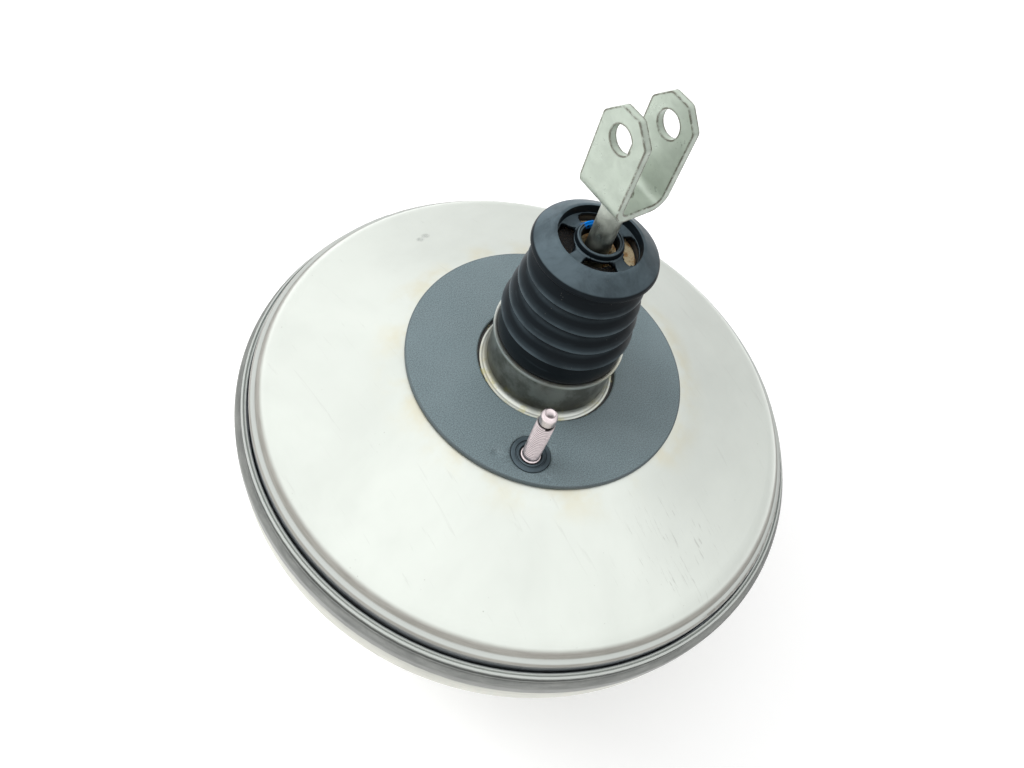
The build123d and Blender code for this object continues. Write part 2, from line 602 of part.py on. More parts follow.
def stop_key():
    """Flat fork that limits the plunger's travel and meets the rear shell when released."""
    middle = KEY_TOP - KEY_T / 2
    plate = Pos(0, KEY_REACH / 2 - KEY_WIDTH / 4, middle) * Box(
        KEY_WIDTH, KEY_REACH + KEY_WIDTH / 2, KEY_T)
    gap_r = KEY_NECK_R + SLIDE_FIT
    gap = disc(gap_r, KEY_TOP - KEY_T, KEY_TOP) + Pos(0, -KEY_WIDTH / 2, middle) * Box(
        2 * gap_r, KEY_WIDTH, KEY_T)
    return plate - gap


def poppet_seal():
    """Rubber valve: thick face, thin sleeve and clamped rim."""
    face = POPPET_FACE_Z
    sleeve = POPPET_SLEEVE_R
    return turned(
        (POPPET_EYE_R, face), (POPPET_BORE_R - 1.2, face, 0.5), (POPPET_BORE_R - 1.2, face + POPPET_T),
        (sleeve, face + POPPET_T + 1), (sleeve, CAGE_Z - 2), (POPPET_BORE_R, CAGE_Z - 2),
        (POPPET_BORE_R, CAGE_Z), (sleeve - 1.2, CAGE_Z), (sleeve - 1.2, face + POPPET_T),
        (POPPET_EYE_R, face + POPPET_T, 0.5))


def poppet_retainer():
    """Pressed cage that holds the poppet's rim and both small springs."""
    eye_r = POPPET_SPRING_R - 2 * POPPET_SPRING_WIRE_R
    return turned(
        (eye_r, CAGE_Z), (POPPET_BORE_R, CAGE_Z), (POPPET_BORE_R, CAGE_Z + CAGE_HEIGHT),
        (POPPET_BORE_R - CAGE_T, CAGE_Z + CAGE_HEIGHT), (POPPET_BORE_R - CAGE_T, CAGE_Z + CAGE_T),
        (eye_r, CAGE_Z + CAGE_T))


def poppet_spring():
    return coil(POPPET_SPRING_R, POPPET_SPRING_WIRE_R, POPPET_FACE_Z + POPPET_T, CAGE_Z,
                POPPET_SPRING_TURNS)


def rod_return_spring():
    """Conical spring that brings the push rod and the plunger back."""
    large_r = POPPET_BORE_R - CAGE_T - ROD_SPRING_WIRE_R - TOUCH
    small_r = ROD_SHOULDER_R + ROD_SPRING_WIRE_R + TOUCH
    return coil(large_r, ROD_SPRING_WIRE_R, CAGE_Z + CAGE_T, SPRING_CUP_Z - CLIP_T, ROD_SPRING_TURNS,
                small_r)


def silencer_felt():
    return ring(FILTER_HOLE_R, FILTER_BORE_R, FELT_Z, FELT_Z + FELT_T)


def air_filter_foam():
    bottom = FELT_Z + FELT_T
    return ring(FILTER_HOLE_R, FILTER_BORE_R, bottom, bottom + FILTER_T)


# ---- Plunger, push rod and clevis -------------------------------------------------------------------
def valve_plunger():
    """Steel plunger: reaction nose, guided land, key groove, air seat and ball socket."""
    land_r = PLUNGER_R - SLIDE_FIT
    nose_z = REACTION_TOP + NOSE_GAP
    land_z = REACTION_TOP + KEY_T + PLUNGER_TRAVEL + 0.2
    groove_top = KEY_TOP + PLUNGER_TRAVEL + 0.1
    groove_low = KEY_TOP - KEY_T - 0.05
    body = turned(
        (0, nose_z), (PLUNGER_NOSE_R, nose_z, 0.4), (PLUNGER_NOSE_R, land_z), (land_r, land_z, 0.5),
        (land_r, groove_low), (KEY_NECK_R, groove_low), (KEY_NECK_R, groove_top),
        (AIR_SEAT_R, groove_top), (AIR_SEAT_R, POPPET_FACE_Z, 0.6), (0, POPPET_FACE_Z))
    return body - Pos(0, 0, BALL_Z) * Sphere(BALL_R + SLIDE_FIT)


def input_rod():
    """Push rod: ball end, neck, spring shoulder, shank and riveted spigot."""
    shank = turned(
        (0, BALL_Z), (ROD_NECK_R, BALL_Z), (ROD_NECK_R, POPPET_FACE_Z + POPPET_T, 3), (ROD_R, CAGE_Z),
        (ROD_R, SPRING_CUP_Z), (ROD_SHOULDER_R, SPRING_CUP_Z, 0.4),
        (ROD_SHOULDER_R, SPRING_CUP_Z + CLEVIS_T, 0.4), (ROD_R, SPRING_CUP_Z + CLEVIS_T),
        (ROD_R, CLEVIS_BASE_Z), (RIVET_R, CLEVIS_BASE_Z), (RIVET_R, CLEVIS_BASE_Z + CLEVIS_T),
        (CENTRE_MARK_R, CLEVIS_BASE_Z + CLEVIS_T),
        (0, CLEVIS_BASE_Z + CLEVIS_T - CENTRE_MARK_R))
    return shank + Pos(0, 0, BALL_Z) * Sphere(BALL_R)


def rod_spring_cup():
    """Washer that takes the conical spring against the rod's shoulder."""
    return turned((ROD_R, SPRING_CUP_Z - CLIP_T), (SPRING_CUP_R, SPRING_CUP_Z - CLIP_T, 0.5),
                  (SPRING_CUP_R, SPRING_CUP_Z, 0.5), (ROD_R, SPRING_CUP_Z))


def clevis():
    """Fork folded from strip: two chamfered ears with the pin's hole, on a base riveted to the rod."""
    half_gap = CLEVIS_GAP / 2
    top = PIN_Z + EAR_TOP
    floor = CLEVIS_BASE_Z + CLEVIS_T
    strip = sheet(CLEVIS_T, (half_gap, top), (half_gap, floor, CLEVIS_BEND), (-half_gap, floor, CLEVIS_BEND),
                  (-half_gap, top))
    fork = extrude(strip, CLEVIS_WIDTH / 2, both=True)
    half = CLEVIS_WIDTH / 2
    ear = Plane.YZ * make_face(FilletPolyline(
        (-half, CLEVIS_BASE_Z - 1), (half, CLEVIS_BASE_Z - 1), (half, top - EAR_CHAMFER),
        (half - EAR_CHAMFER, top), (-half + EAR_CHAMFER, top), (-half, top - EAR_CHAMFER),
        radius=(0.01, 0.01, 2.5, 2.5, 2.5, 2.5), close=True))
    profile = extrude(ear, half_gap + CLEVIS_T + 1, both=True)
    pin_hole = Pos(0, 0, PIN_Z) * Rot(0, 90, 0) * Cylinder(PIN_R, CLEVIS_GAP + 2 * CLEVIS_T + 2)
    rivet_hole = disc(RIVET_R, CLEVIS_BASE_Z, floor)
    return (fork & profile) - pin_hole - rivet_hole


# ---- Dust boot ------------------------------------------------------------------------------------
def boot_bellows():
    """Folded sleeve between the neck and the cap, one soft moulding with the cap."""
    z = BOOT_FOOT_Z + BOOT_SLEEVE
    pitch = (CAP_Z + CAP_LAP - z) / BOOT_FOLDS
    folds = [(BOOT_FOOT_R, BOOT_FOOT_Z), (BOOT_FOOT_R, z)]
    for fold in range(BOOT_FOLDS):
        folds += [(BOOT_CREST_R, z + FOLD_RISE), (BOOT_CREST_R, z + FOLD_RISE + CREST_LAND),
                  (BOOT_VALLEY_R, z + pitch - VALLEY_LAND), (BOOT_VALLEY_R, z + pitch)]
        z += pitch
    outer, inner = parallel(BOOT_T, *folds)
    bead_r = NECK_BORE_R - TOUCH
    return turned((BOOT_VALLEY_R - BOOT_T, NECK_HEIGHT - BOOT_BEAD_T),
                  (bead_r, NECK_HEIGHT - BOOT_BEAD_T), (bead_r, NECK_HEIGHT - BOOT_T, 0.8), *outer,
                  *reversed(inner))


def boot_cap():
    """Stiff end of the boot, gripping the valve body's tail, with air slots round the rod's tube."""
    cap = turned(
        (TAIL_R, CAP_Z + CAP_LAP), (CAP_LAP_R, CAP_Z + CAP_LAP), (CAP_LAP_R, CAP_Z),
        (CAP_R - 0.8, CAP_Z, 0.5), (CAP_R, CAP_Z + 1.5, 1),
        (CAP_R, ROOF_Z - CAP_SHOULDER, 3), (CAP_R - CAP_SHOULDER, ROOF_Z, 4),
        (HUB_TUBE_R, ROOF_Z, 0.6), (HUB_TUBE_R, ROOF_Z + HUB_TUBE_RISE, 1),
        (HUB_HOLE_R, ROOF_Z + HUB_TUBE_RISE, 0.8), (HUB_HOLE_R, ROOF_Z - CAP_ROOF_T),
        (FILTER_BORE_R, ROOF_Z - CAP_ROOF_T), (FILTER_BORE_R, TAIL_TOP), (TAIL_R, TAIL_TOP))
    return cap - boot_slots()


def boot_slots():
    """Kidney-shaped air slots between the webs of the cap."""
    width = SLOT_R - HUB_TUBE_R
    mid_r = SLOT_R - width / 2
    round_end = degrees(width / 2 / mid_r)
    span = 360 / SLOT_COUNT - SLOT_SPOKE - 2 * round_end
    arc = CenterArc((0, 0), mid_r, SLOT_PHASE + SLOT_SPOKE / 2 + round_end, span)
    slot = Pos(0, 0, ROOF_Z - 2 * CAP_ROOF_T) * extrude(SlotArc(arc, width), 3 * CAP_ROOF_T)
    return [Rot(0, 0, i * 360 / SLOT_COUNT) * slot for i in range(SLOT_COUNT)]


PARTS = (
    rear_shell, front_shell, mounting_gasket, rear_reinforcement_plate, firewall_studs, stud_seals,
    front_reinforcement_plate, master_cylinder_studs, master_cylinder_seal, check_valve_grommet,
    check_valve_base, check_valve_nipple, check_valve_disc, check_valve_spring, neck_bush, neck_seal,
    seal_retainer, valve_body, diaphragm_plate, diaphragm, reaction_disc, output_rod, adjusting_screw,
    output_rod_retainer, return_spring, return_spring_seat, stop_key, poppet_seal, poppet_retainer,
    poppet_spring, rod_return_spring, silencer_felt, air_filter_foam, valve_plunger, input_rod,
    rod_spring_cup, clevis, boot_bellows, boot_cap,
)

if __name__ == "__main__":
    os.makedirs("parts", exist_ok=True)
    for make in PARTS:
        export_step(make(), f"parts/{make.__name__}.step")
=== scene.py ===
"""Brake booster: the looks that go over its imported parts, laid out as a Blender add-on.

Metres, in the part's own frame: +Z is the booster's axis and points at the pedal, and z = 0 is the
face that meets the firewall. Lengths named in millimetres carry _MM in their names.
"""

from math import pi, radians, sin

import bmesh
import bpy
from bpy.props import FloatProperty, FloatVectorProperty, IntProperty, PointerProperty
from mathutils import Euler, Matrix, Vector, noise


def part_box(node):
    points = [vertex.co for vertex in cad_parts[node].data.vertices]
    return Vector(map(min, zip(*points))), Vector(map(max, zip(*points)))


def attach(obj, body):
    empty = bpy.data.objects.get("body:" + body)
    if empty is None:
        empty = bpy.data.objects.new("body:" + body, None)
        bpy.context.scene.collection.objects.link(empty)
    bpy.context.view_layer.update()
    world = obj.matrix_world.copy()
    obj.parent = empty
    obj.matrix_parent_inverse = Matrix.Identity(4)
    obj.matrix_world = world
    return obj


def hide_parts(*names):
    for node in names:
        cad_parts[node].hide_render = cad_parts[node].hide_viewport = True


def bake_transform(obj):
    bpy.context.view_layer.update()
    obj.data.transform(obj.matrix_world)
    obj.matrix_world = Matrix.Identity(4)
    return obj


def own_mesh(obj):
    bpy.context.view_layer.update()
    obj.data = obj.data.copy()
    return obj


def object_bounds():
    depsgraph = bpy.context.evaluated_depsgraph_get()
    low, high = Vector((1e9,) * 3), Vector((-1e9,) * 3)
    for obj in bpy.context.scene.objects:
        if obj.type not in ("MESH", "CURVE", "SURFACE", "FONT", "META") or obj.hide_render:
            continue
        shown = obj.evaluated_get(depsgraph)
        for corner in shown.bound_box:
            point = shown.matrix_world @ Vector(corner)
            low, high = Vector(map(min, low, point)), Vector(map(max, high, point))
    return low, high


bl_info = {
    "name": "Brake Booster Finish",
    "version": (1, 0, 0),
    "blender": (4, 5, 0),
    "location": "View3D > Sidebar > Booster",
    "description": "Builds the soft parts, threads, springs and finishes of a vacuum brake booster",
    "category": "Object",
}

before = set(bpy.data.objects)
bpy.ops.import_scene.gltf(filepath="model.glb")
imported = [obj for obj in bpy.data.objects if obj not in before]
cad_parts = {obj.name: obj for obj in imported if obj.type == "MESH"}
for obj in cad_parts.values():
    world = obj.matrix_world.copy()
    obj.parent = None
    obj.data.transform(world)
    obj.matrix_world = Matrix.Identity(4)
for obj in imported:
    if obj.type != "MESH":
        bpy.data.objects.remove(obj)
CAD_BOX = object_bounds()
MM = 0.001
FULL_TURN = 2 * pi
Z_AXIS = Vector((0, 0, 1))
ARC_POINTS = 6

# Sizes shared by several pieces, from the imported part
NECK_TOP_MM = 21.8
STUD_CIRCLE_MM = 50.7          # radius of the circle that the firewall studs lie on
STUD_ANGLES = (45, 225)
COLLAR_R_MM = 8.75
THREAD_R_MM = 3.98
VALVE_Y_MM = 88

# Wear, marks and a painted shadow, by where they lie on the part
SMUDGES_MM = ((-6.5, 95.5, 1.0), (-2.5, 97.0, 1.3), (-112, 30, 0.6), (60, -84, 0.7))   # x, y, reach
SMUDGE_Z_MM = -11.5
SCRAPE_AT = (0.002, -0.101, -0.014)
PAINT_DAB_AT = (0.0008, 0.0094, 0.0803)
# Two foam slots painted near-black: at 142 degrees painted shadow, at 232 degrees an oil film.
OILED_AND_SHADED_SLOT_ANGLES = (142, 232)
OILED_AND_SHADED_SLOT_AT = (0.0132, 0, 0.0745)      # before it is turned to each angle


# ---- Mesh helpers ---------------------------------------------------------------------------
def profile_edges(bm, points, closed):
    """A line of edges through (r, z) points given in millimetres, in the XZ plane."""
    verts = [bm.verts.new((r * MM, 0, z * MM)) for r, z in points]
    ends = verts[1:] + verts[:1] if closed else verts[1:]
    return verts + [bm.edges.new(pair) for pair in zip(verts, ends)]


def spin_profile(bm, points, steps):
    """Turns a closed profile fully about the booster's axis."""
    geometry = profile_edges(bm, points, True)
    bmesh.ops.spin(bm, geom=geometry, cent=(0, 0, 0), axis=Z_AXIS, dvec=(0, 0, 0), angle=FULL_TURN,
                   steps=steps, use_merge=True, use_duplicate=False)
    bmesh.ops.remove_doubles(bm, verts=bm.verts, dist=1e-7)


def rounded(corners, closed=False):
    """Replaces each (r, z, radius) corner of a line by a short arc of points; (r, z) stays sharp."""
    count = len(corners)
    points = []
    for i, corner in enumerate(corners):
        here = Vector(corner[:2])
        size = corner[2] if len(corner) > 2 else 0
        if not size or (not closed and i in (0, count - 1)):
            points.append(tuple(here))
            continue
        before = Vector(corners[i - 1][:2]) - here
        after = Vector(corners[(i + 1) % count][:2]) - here
        reach = min(size, before.length * 0.49, after.length * 0.49)
        start, end = here + before.normalized() * reach, here + after.normalized() * reach
        for k in range(ARC_POINTS):
            t = k / (ARC_POINTS - 1)
            points.append(tuple(start * (1 - t) ** 2 + here * 2 * t * (1 - t) + end * t * t))
    return points


def finish_piece(bm, name, body, material, replaced):
    """Turns a bmesh into a named piece that rides on a body and stands for CAD nodes."""
    bmesh.ops.remove_doubles(bm, verts=bm.verts, dist=1e-6)
    bmesh.ops.recalc_face_normals(bm, faces=bm.faces)
    mesh = bpy.data.meshes.new(name)
    for face in bm.faces:
        face.smooth = True
    bm.to_mesh(mesh)
    bm.free()
    mesh.materials.append(material)
    piece = bpy.data.objects.new(name, mesh)
    bpy.context.scene.collection.objects.link(piece)
    if body:
        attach(piece, body)
    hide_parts(*replaced)
    return piece


# ---- Material helpers --------------------------------------------------------------------------
class Finish:
    """Node tree of one finish, with short calls for the nodes it is made of."""

    def __init__(self, name, colour, roughness, metallic=0.0, **constants):
        self.material = bpy.data.materials.new(name)
        self.material.use_nodes = True
        self.material.diffuse_color = (*colour, 1)
        self.tree = self.material.node_tree
        self.shader = self.tree.nodes["Principled BSDF"]
        self.colour = self.shader.inputs["Base Color"]
        self.colour.default_value = (*colour, 1)
        self.shader.inputs["Roughness"].default_value = roughness
        self.shader.inputs["Metallic"].default_value = metallic
        for socket, value in constants.items():
            self.shader.inputs[socket.replace("_", " ")].default_value = value
        self.place = self.node("ShaderNodeTexCoord").outputs["Object"]
        self.bump_height = None

    def node(self, kind, **settings):
        made = self.tree.nodes.new(kind)
        for key, value in settings.items():
            setattr(made, key, value)
        return made

    def feed(self, source, target):
        """Links an output, or sets a number or colour, on an input."""
        if hasattr(source, "links"):
            self.tree.links.new(source, target)
        else:
            target.default_value = source

    def scaled(self, scale):
        mapping = self.node("ShaderNodeMapping")
        mapping.inputs["Scale"].default_value = scale
        self.feed(self.place, mapping.inputs["Vector"])
        return mapping.outputs["Vector"]

    def noise(self, scale, detail=4.0, roughness=0.55, distortion=0.0, place=None):
        made = self.node("ShaderNodeTexNoise")
        self.feed(place or self.place, made.inputs["Vector"])
        made.inputs["Scale"].default_value = scale
        made.inputs["Detail"].default_value = detail
        made.inputs["Roughness"].default_value = roughness
        made.inputs["Distortion"].default_value = distortion
        return made.outputs["Fac"]

    def cells(self, scale):
        """Distance from the nearest of many scattered points."""
        made = self.node("ShaderNodeTexVoronoi")
        self.feed(self.place, made.inputs["Vector"])
        made.inputs["Scale"].default_value = scale
        return made.outputs["Distance"]

    def band(self, value, low, high, from_low=0.0, to_high=1.0):
        """Smoothly maps a value between low and high to the given range."""
        made = self.node("ShaderNodeMapRange", interpolation_type="SMOOTHSTEP")
        self.feed(value, made.inputs["Value"])
        made.inputs["From Min"].default_value = low
        made.inputs["From Max"].default_value = high
        made.inputs["To Min"].default_value = from_low
        made.inputs["To Max"].default_value = to_high
        return made.outputs["Result"]

    def maths(self, operation, a, b=0.0):
        made = self.node("ShaderNodeMath", operation=operation)
        self.feed(a, made.inputs[0])
        self.feed(b, made.inputs[1])
        return made.outputs[0]

    def blend(self, share, a, b):
        """Mixes two colours by a share."""
        made = self.node("ShaderNodeMix", data_type="RGBA")
        self.feed(share, made.inputs["Factor"])
        for source, index in ((a, 6), (b, 7)):
            self.feed((*source, 1) if isinstance(source, tuple) else source, made.inputs[index])
        return made.outputs[2]

    def height(self):
        """Object Z."""
        parts = self.node("ShaderNodeSeparateXYZ")
        self.feed(self.place, parts.inputs[0])
        return parts.outputs["Z"]

    def radius(self):
        """Distance from the booster's axis."""
        flat = self.scaled((1, 1, 0))
        length = self.node("ShaderNodeVectorMath", operation="LENGTH")
        self.feed(flat, length.inputs[0])
        return length.outputs["Value"]

    def near(self, point, reach, soft):
        """1 inside a ball round a point, falling to 0 beyond it."""
        away = self.node("ShaderNodeVectorMath", operation="DISTANCE")
        self.feed(self.place, away.inputs[0])
        away.inputs[1].default_value = point
        return self.band(away.outputs["Value"], reach, reach + soft, 1.0, 0.0)

    def painted(self, attribute):
        """A value laid on the vertices, 0 where there is none."""
        return self.node("ShaderNodeAttribute", attribute_name=attribute).outputs["Fac"]

    def edges(self, reach):
        """Near 1 within reach of a sharp edge, 0 on the flats."""
        turned = self.node("ShaderNodeVectorMath", operation="DISTANCE")
        bevel = self.node("ShaderNodeBevel", samples=8)
        bevel.inputs["Radius"].default_value = reach
        self.feed(bevel.outputs["Normal"], turned.inputs[0])
        self.feed(self.node("ShaderNodeNewGeometry").outputs["Normal"], turned.inputs[1])
        return self.band(turned.outputs["Value"], 0.04, 0.22)

    def set_colour(self, source):
        self.feed(source, self.colour)

    def set_roughness(self, source):
        self.feed(source, self.shader.inputs["Roughness"])

    def bump(self, height, distance, strength=1.0):
        """Adds a bump on top of those already there."""
        made = self.node("ShaderNodeBump")
        made.inputs["Strength"].default_value = strength
        made.inputs["Distance"].default_value = distance
        self.feed(height, made.inputs["Height"])
        if self.bump_height is not None:
            self.feed(self.bump_height, made.inputs["Normal"])
        self.bump_height = made.outputs["Normal"]
        self.feed(self.bump_height, self.shader.inputs["Normal"])


# ---- Finishes -------------------------------------------------------------------------------
def satin_silver(name, settings, with_neck):
    """Silver-coated pressed steel: stains by the gasket, smudges, scratches, painted shadow at the
    gasket's bore, and a rim in darker, streaked bands with painted shade in the joint, in the groove
    and under the rim.
    """
    base = tuple(settings.silver)
    coat = Finish(name, base, 0.4, 0.92)
    clouds = coat.noise(9, 5, 0.6, 0.4)
    darker = tuple(c * 0.9 for c in base)
    colour = coat.blend(coat.band(clouds, 0.35, 0.7), base, darker)
    radius = coat.radius()
    stain = coat.maths("MULTIPLY", coat.band(radius, 0.066, 0.082, 1.0, 0.0),
                       coat.band(coat.noise(38, 4, 0.6), 0.42, 0.66))
    colour = coat.blend(coat.maths("MULTIPLY", stain, 0.5), colour, (0.55, 0.5, 0.34))
    specks = coat.band(coat.cells(260), 0.06, 0.1, 1.0, 0.0)
    few = coat.band(coat.noise(30, 3), 0.55, 0.65)
    colour = coat.blend(coat.maths("MULTIPLY", coat.maths("MULTIPLY", specks, few), 0.45), colour,
                        (0.2, 0.19, 0.16))
    drift = coat.scaled((420, 26, 60))
    hairs = coat.band(coat.noise(1.0, 3, 0.7, 0.8, drift), 0.64, 0.72)
    colour = coat.blend(coat.maths("MULTIPLY", hairs, 0.16), colour, (0.34, 0.34, 0.32))
    for x, y, size in SMUDGES_MM:
        place = (x * MM, y * MM, SMUDGE_Z_MM * MM)
        mark = coat.maths("MULTIPLY", coat.near(place, size * MM, 0.0018),
                          coat.band(coat.noise(1400, 3), 0.25, 0.7))
        colour = coat.blend(coat.maths("MULTIPLY", mark, 0.55), colour, (0.12, 0.13, 0.13))
    gouges = coat.band(coat.noise(1.0, 4, 0.7, 0.5, coat.scaled((900, 60, 90))), 0.6, 0.68)
    gouges = coat.maths("MULTIPLY", gouges, coat.near(SCRAPE_AT, 0.012, 0.03))
    colour = coat.blend(coat.maths("MULTIPLY", gouges, 0.4), colour, (0.3, 0.3, 0.28))
    height = coat.height()
    rubbed = coat.band(coat.noise(1.0, 5, 0.7, 0.3, coat.scaled((70, 70, 900))), 0.3, 0.7)
    if with_neck:
        inner = coat.band(radius, 0.0322, 0.0334, 1.0, 0.0)
        wall = coat.maths("MULTIPLY", inner, coat.band(height, 0.0004, 0.0018))
        wall = coat.maths("MULTIPLY", wall, coat.band(height, 0.0195, 0.0212, 1.0, 0.0))
        grime = coat.blend(coat.band(coat.noise(70, 5, 0.65), 0.4, 0.65), (0.15, 0.15, 0.13),
                           (0.3, 0.31, 0.28))
        colour = coat.blend(wall, colour, grime)
        # Painted shadow: a near-black ring in the gap between the neck's fillet and the gasket's bore,
        # and a half-strength dark line on the fillet further in.
        for start, end, share in ((0.0311, 0.0326, 1.0), (0.0297, 0.0301, 0.5)):
            ring = coat.maths("MULTIPLY", coat.band(radius, start - 0.0002, start),
                              coat.band(radius, end, end + 0.0003, 1.0, 0.0))
            ring = coat.maths("MULTIPLY", ring, coat.band(height, 0.0004, 0.001, share, 0.0))
            colour = coat.blend(ring, colour, (0.04, 0.04, 0.04))
        low = coat.maths("MULTIPLY", coat.band(height, 0.001, 0.007, 1.0, 0.0), inner)
        bloom = coat.maths("MULTIPLY", low, coat.band(coat.noise(160, 4, 0.7), 0.52, 0.66))
        colour = coat.blend(coat.maths("MULTIPLY", bloom, 0.5), colour, (0.42, 0.4, 0.16))
        # Below the shoulder the outer wall is painted a darker, streaked grey.
        rim_wall_grey = coat.blend(rubbed, (0.2, 0.19, 0.17), (0.27, 0.26, 0.235))
        colour = coat.blend(coat.band(height, -0.0262, -0.0238, 0.9, 0.0), colour, rim_wall_grey)
        bead = coat.maths("MULTIPLY", coat.band(height, -0.0287, -0.0283),
                          coat.band(radius, 0.1268, 0.1276))
        colour = coat.blend(bead, colour, (0.42, 0.44, 0.42))
        # Painted shade: below the bead the hem is painted dark blue-grey where it meets the front
        # shell.
        colour = coat.blend(coat.band(height, -0.0325, -0.0287, 1.0, 0.0), colour, (0.26, 0.28, 0.3))
    else:
        # Painted shade: a dark, streaked band on the front shell just under the rim.
        under_rim_shade = coat.blend(rubbed, (0.13, 0.135, 0.13), (0.2, 0.205, 0.195))
        barrel = coat.blend(rubbed, (0.46, 0.46, 0.42), (0.56, 0.56, 0.51))
        under = coat.blend(coat.band(height, -0.057, -0.042), barrel, under_rim_shade)
        under = coat.blend(coat.band(height, -0.0362, -0.0352), under, (0.4, 0.42, 0.4))
        colour = coat.blend(coat.band(height, -0.12, -0.075, 0.75, 0.95), colour, under)
        # Painted shade in the groove under the rim.
        groove_shade = coat.maths("MULTIPLY", coat.band(radius, 0.1312, 0.1317, 1.0, 0.0),
                            coat.band(height, -0.036, -0.0345, 1.0, 0.0))
        groove_shade = coat.maths("MULTIPLY", groove_shade, coat.band(height, -0.042, -0.0405))
        colour = coat.blend(groove_shade, colour, (0.26, 0.28, 0.3))
    coat.set_colour(colour)
    coat.set_roughness(coat.band(coat.noise(24, 4, 0.6), 0.3, 0.7, 0.36, 0.48))
    coat.bump(coat.noise(900, 2, 0.5), 0.00002, 0.35)
    coat.bump(coat.noise(45, 3, 0.5), 0.0002, 0.12)
    return coat.material


def gasket_fibre(name, settings):
    """Dark slate facing with a fine grain, a few pale scuffs and painted shade along its outer edge."""
    base = tuple(settings.gasket)
    facing = Finish(name, base, 0.55)
    grain = facing.noise(1900, 3, 0.75)
    pale = tuple(c * 1.35 for c in base)
    dark = tuple(c * 0.68 for c in base)
    colour = facing.blend(facing.band(grain, 0.35, 0.65), dark, pale)
    patches = facing.band(facing.noise(22, 5, 0.6), 0.45, 0.7)
    colour = facing.blend(facing.maths("MULTIPLY", patches, 0.25), colour, pale)
    # Painted shade: a darker ring just inside the outer edge.
    edge = facing.band(facing.radius(), 0.0637, 0.0642)
    colour = facing.blend(facing.maths("MULTIPLY", edge, 0.7), colour, tuple(c * 0.35 for c in base))
    facing.set_colour(colour)
    facing.set_roughness(facing.band(facing.noise(60, 4), 0.3, 0.7, 0.48, 0.62))
    facing.bump(grain, 0.00006, 0.5)
    return facing.material


# dust sets how strongly the bloom colour shows: as dust, as painted sheen on upward faces and as
# painted highlight on the fold crests.
def black_rubber(name, base, settings, dust, paint=False):
    """Moulded rubber: a bluish bloom on upward-facing tops, partly dust and partly painted sheen, a
    painted highlight on the fold crests, smears and a fine grain.
    """
    skin = Finish(name, base, 0.42, Specular_IOR_Level=0.07)
    bloom = tuple(settings.bloom)
    # Bloom on upward-facing surfaces: partly dust, partly painted sheen from the overhead light.
    up = skin.node("ShaderNodeSeparateXYZ")
    skin.feed(skin.node("ShaderNodeNewGeometry").outputs["Normal"], up.inputs[0])
    lying = skin.band(up.outputs["Z"], 0.62, 0.85, 0.0, 1.0)
    cloud = skin.band(skin.noise(55, 5, 0.65, 0.6), 0.3, 0.72, 0.45, 1.0)
    share = skin.maths("MULTIPLY", skin.maths("MULTIPLY", cloud, lying), dust)
    colour = skin.blend(share, base, bloom)
    # Painted highlight along the fold crests, marked by the crest layer.
    patchy = skin.band(skin.noise(40, 4), 0.35, 0.65, 0.35, 1.0)
    crest = skin.maths("MULTIPLY", skin.painted("crest"), patchy)
    colour = skin.blend(skin.maths("MULTIPLY", crest, 0.95 * dust), colour, bloom)
    smear = skin.band(skin.noise(1.0, 4, 0.6, 0.3, skin.scaled((60, 60, 420))), 0.58, 0.72)
    colour = skin.blend(skin.maths("MULTIPLY", smear, 0.08 * dust), colour, bloom)
    specks = skin.maths("MULTIPLY", skin.band(skin.cells(620), 0.07, 0.12, 1.0, 0.0),
                        skin.band(skin.noise(90, 3), 0.56, 0.66))
    colour = skin.blend(skin.maths("MULTIPLY", specks, 0.4), colour, (0.2, 0.2, 0.18))
    if paint:
        dab = skin.maths("MULTIPLY", skin.near(PAINT_DAB_AT, 0.0022, 0.0012),
                         skin.band(skin.noise(600, 4, 0.6), 0.36, 0.5))
        colour = skin.blend(dab, colour, (0.0, 0.19, 0.68))
    skin.set_colour(colour)
    skin.set_roughness(skin.band(skin.noise(120, 4), 0.3, 0.7, 0.34, 0.5))
    skin.bump(skin.noise(1700, 2, 0.6), 0.00003, 0.4)
    return skin.material


def zinc(name, base, roughness=0.34, mottle=0.12, worn=0.0, metallic=0.95):
    """Bright zinc plating with cloudy passivation, dark pin specks, painted shade in thread roots and
    darkened, nicked edges.
    """
    plate = Finish(name, base, roughness, metallic)
    cloud = plate.band(plate.noise(170, 5, 0.6, 0.5), 0.35, 0.7)
    dull = tuple(c * (1 - 2.2 * mottle) for c in base)
    colour = plate.blend(cloud, base, dull)
    specks = plate.maths("MULTIPLY", plate.band(plate.cells(700), 0.08, 0.14, 1.0, 0.0),
                         plate.band(plate.noise(120, 3), 0.55, 0.62))
    colour = plate.blend(plate.maths("MULTIPLY", specks, 0.7), colour, (0.06, 0.06, 0.05))
    # Painted shade in the thread roots, marked by the hollow layer.
    hollow = plate.painted("hollow")
    colour = plate.blend(hollow, colour, tuple(c * 0.12 for c in base))
    if worn:
        nicks = plate.maths("MULTIPLY", plate.edges(0.0012),
                            plate.band(plate.noise(420, 5, 0.7), 0.3, 0.55))
        colour = plate.blend(plate.maths("MULTIPLY", nicks, worn), colour, (0.09, 0.085, 0.06))
    plate.set_colour(colour)
    plate.set_roughness(plate.band(plate.noise(260, 4), 0.3, 0.7, roughness * 0.75, roughness * 1.4))
    plate.bump(plate.noise(900, 3, 0.6), 0.00003, 0.4)
    return plate.material


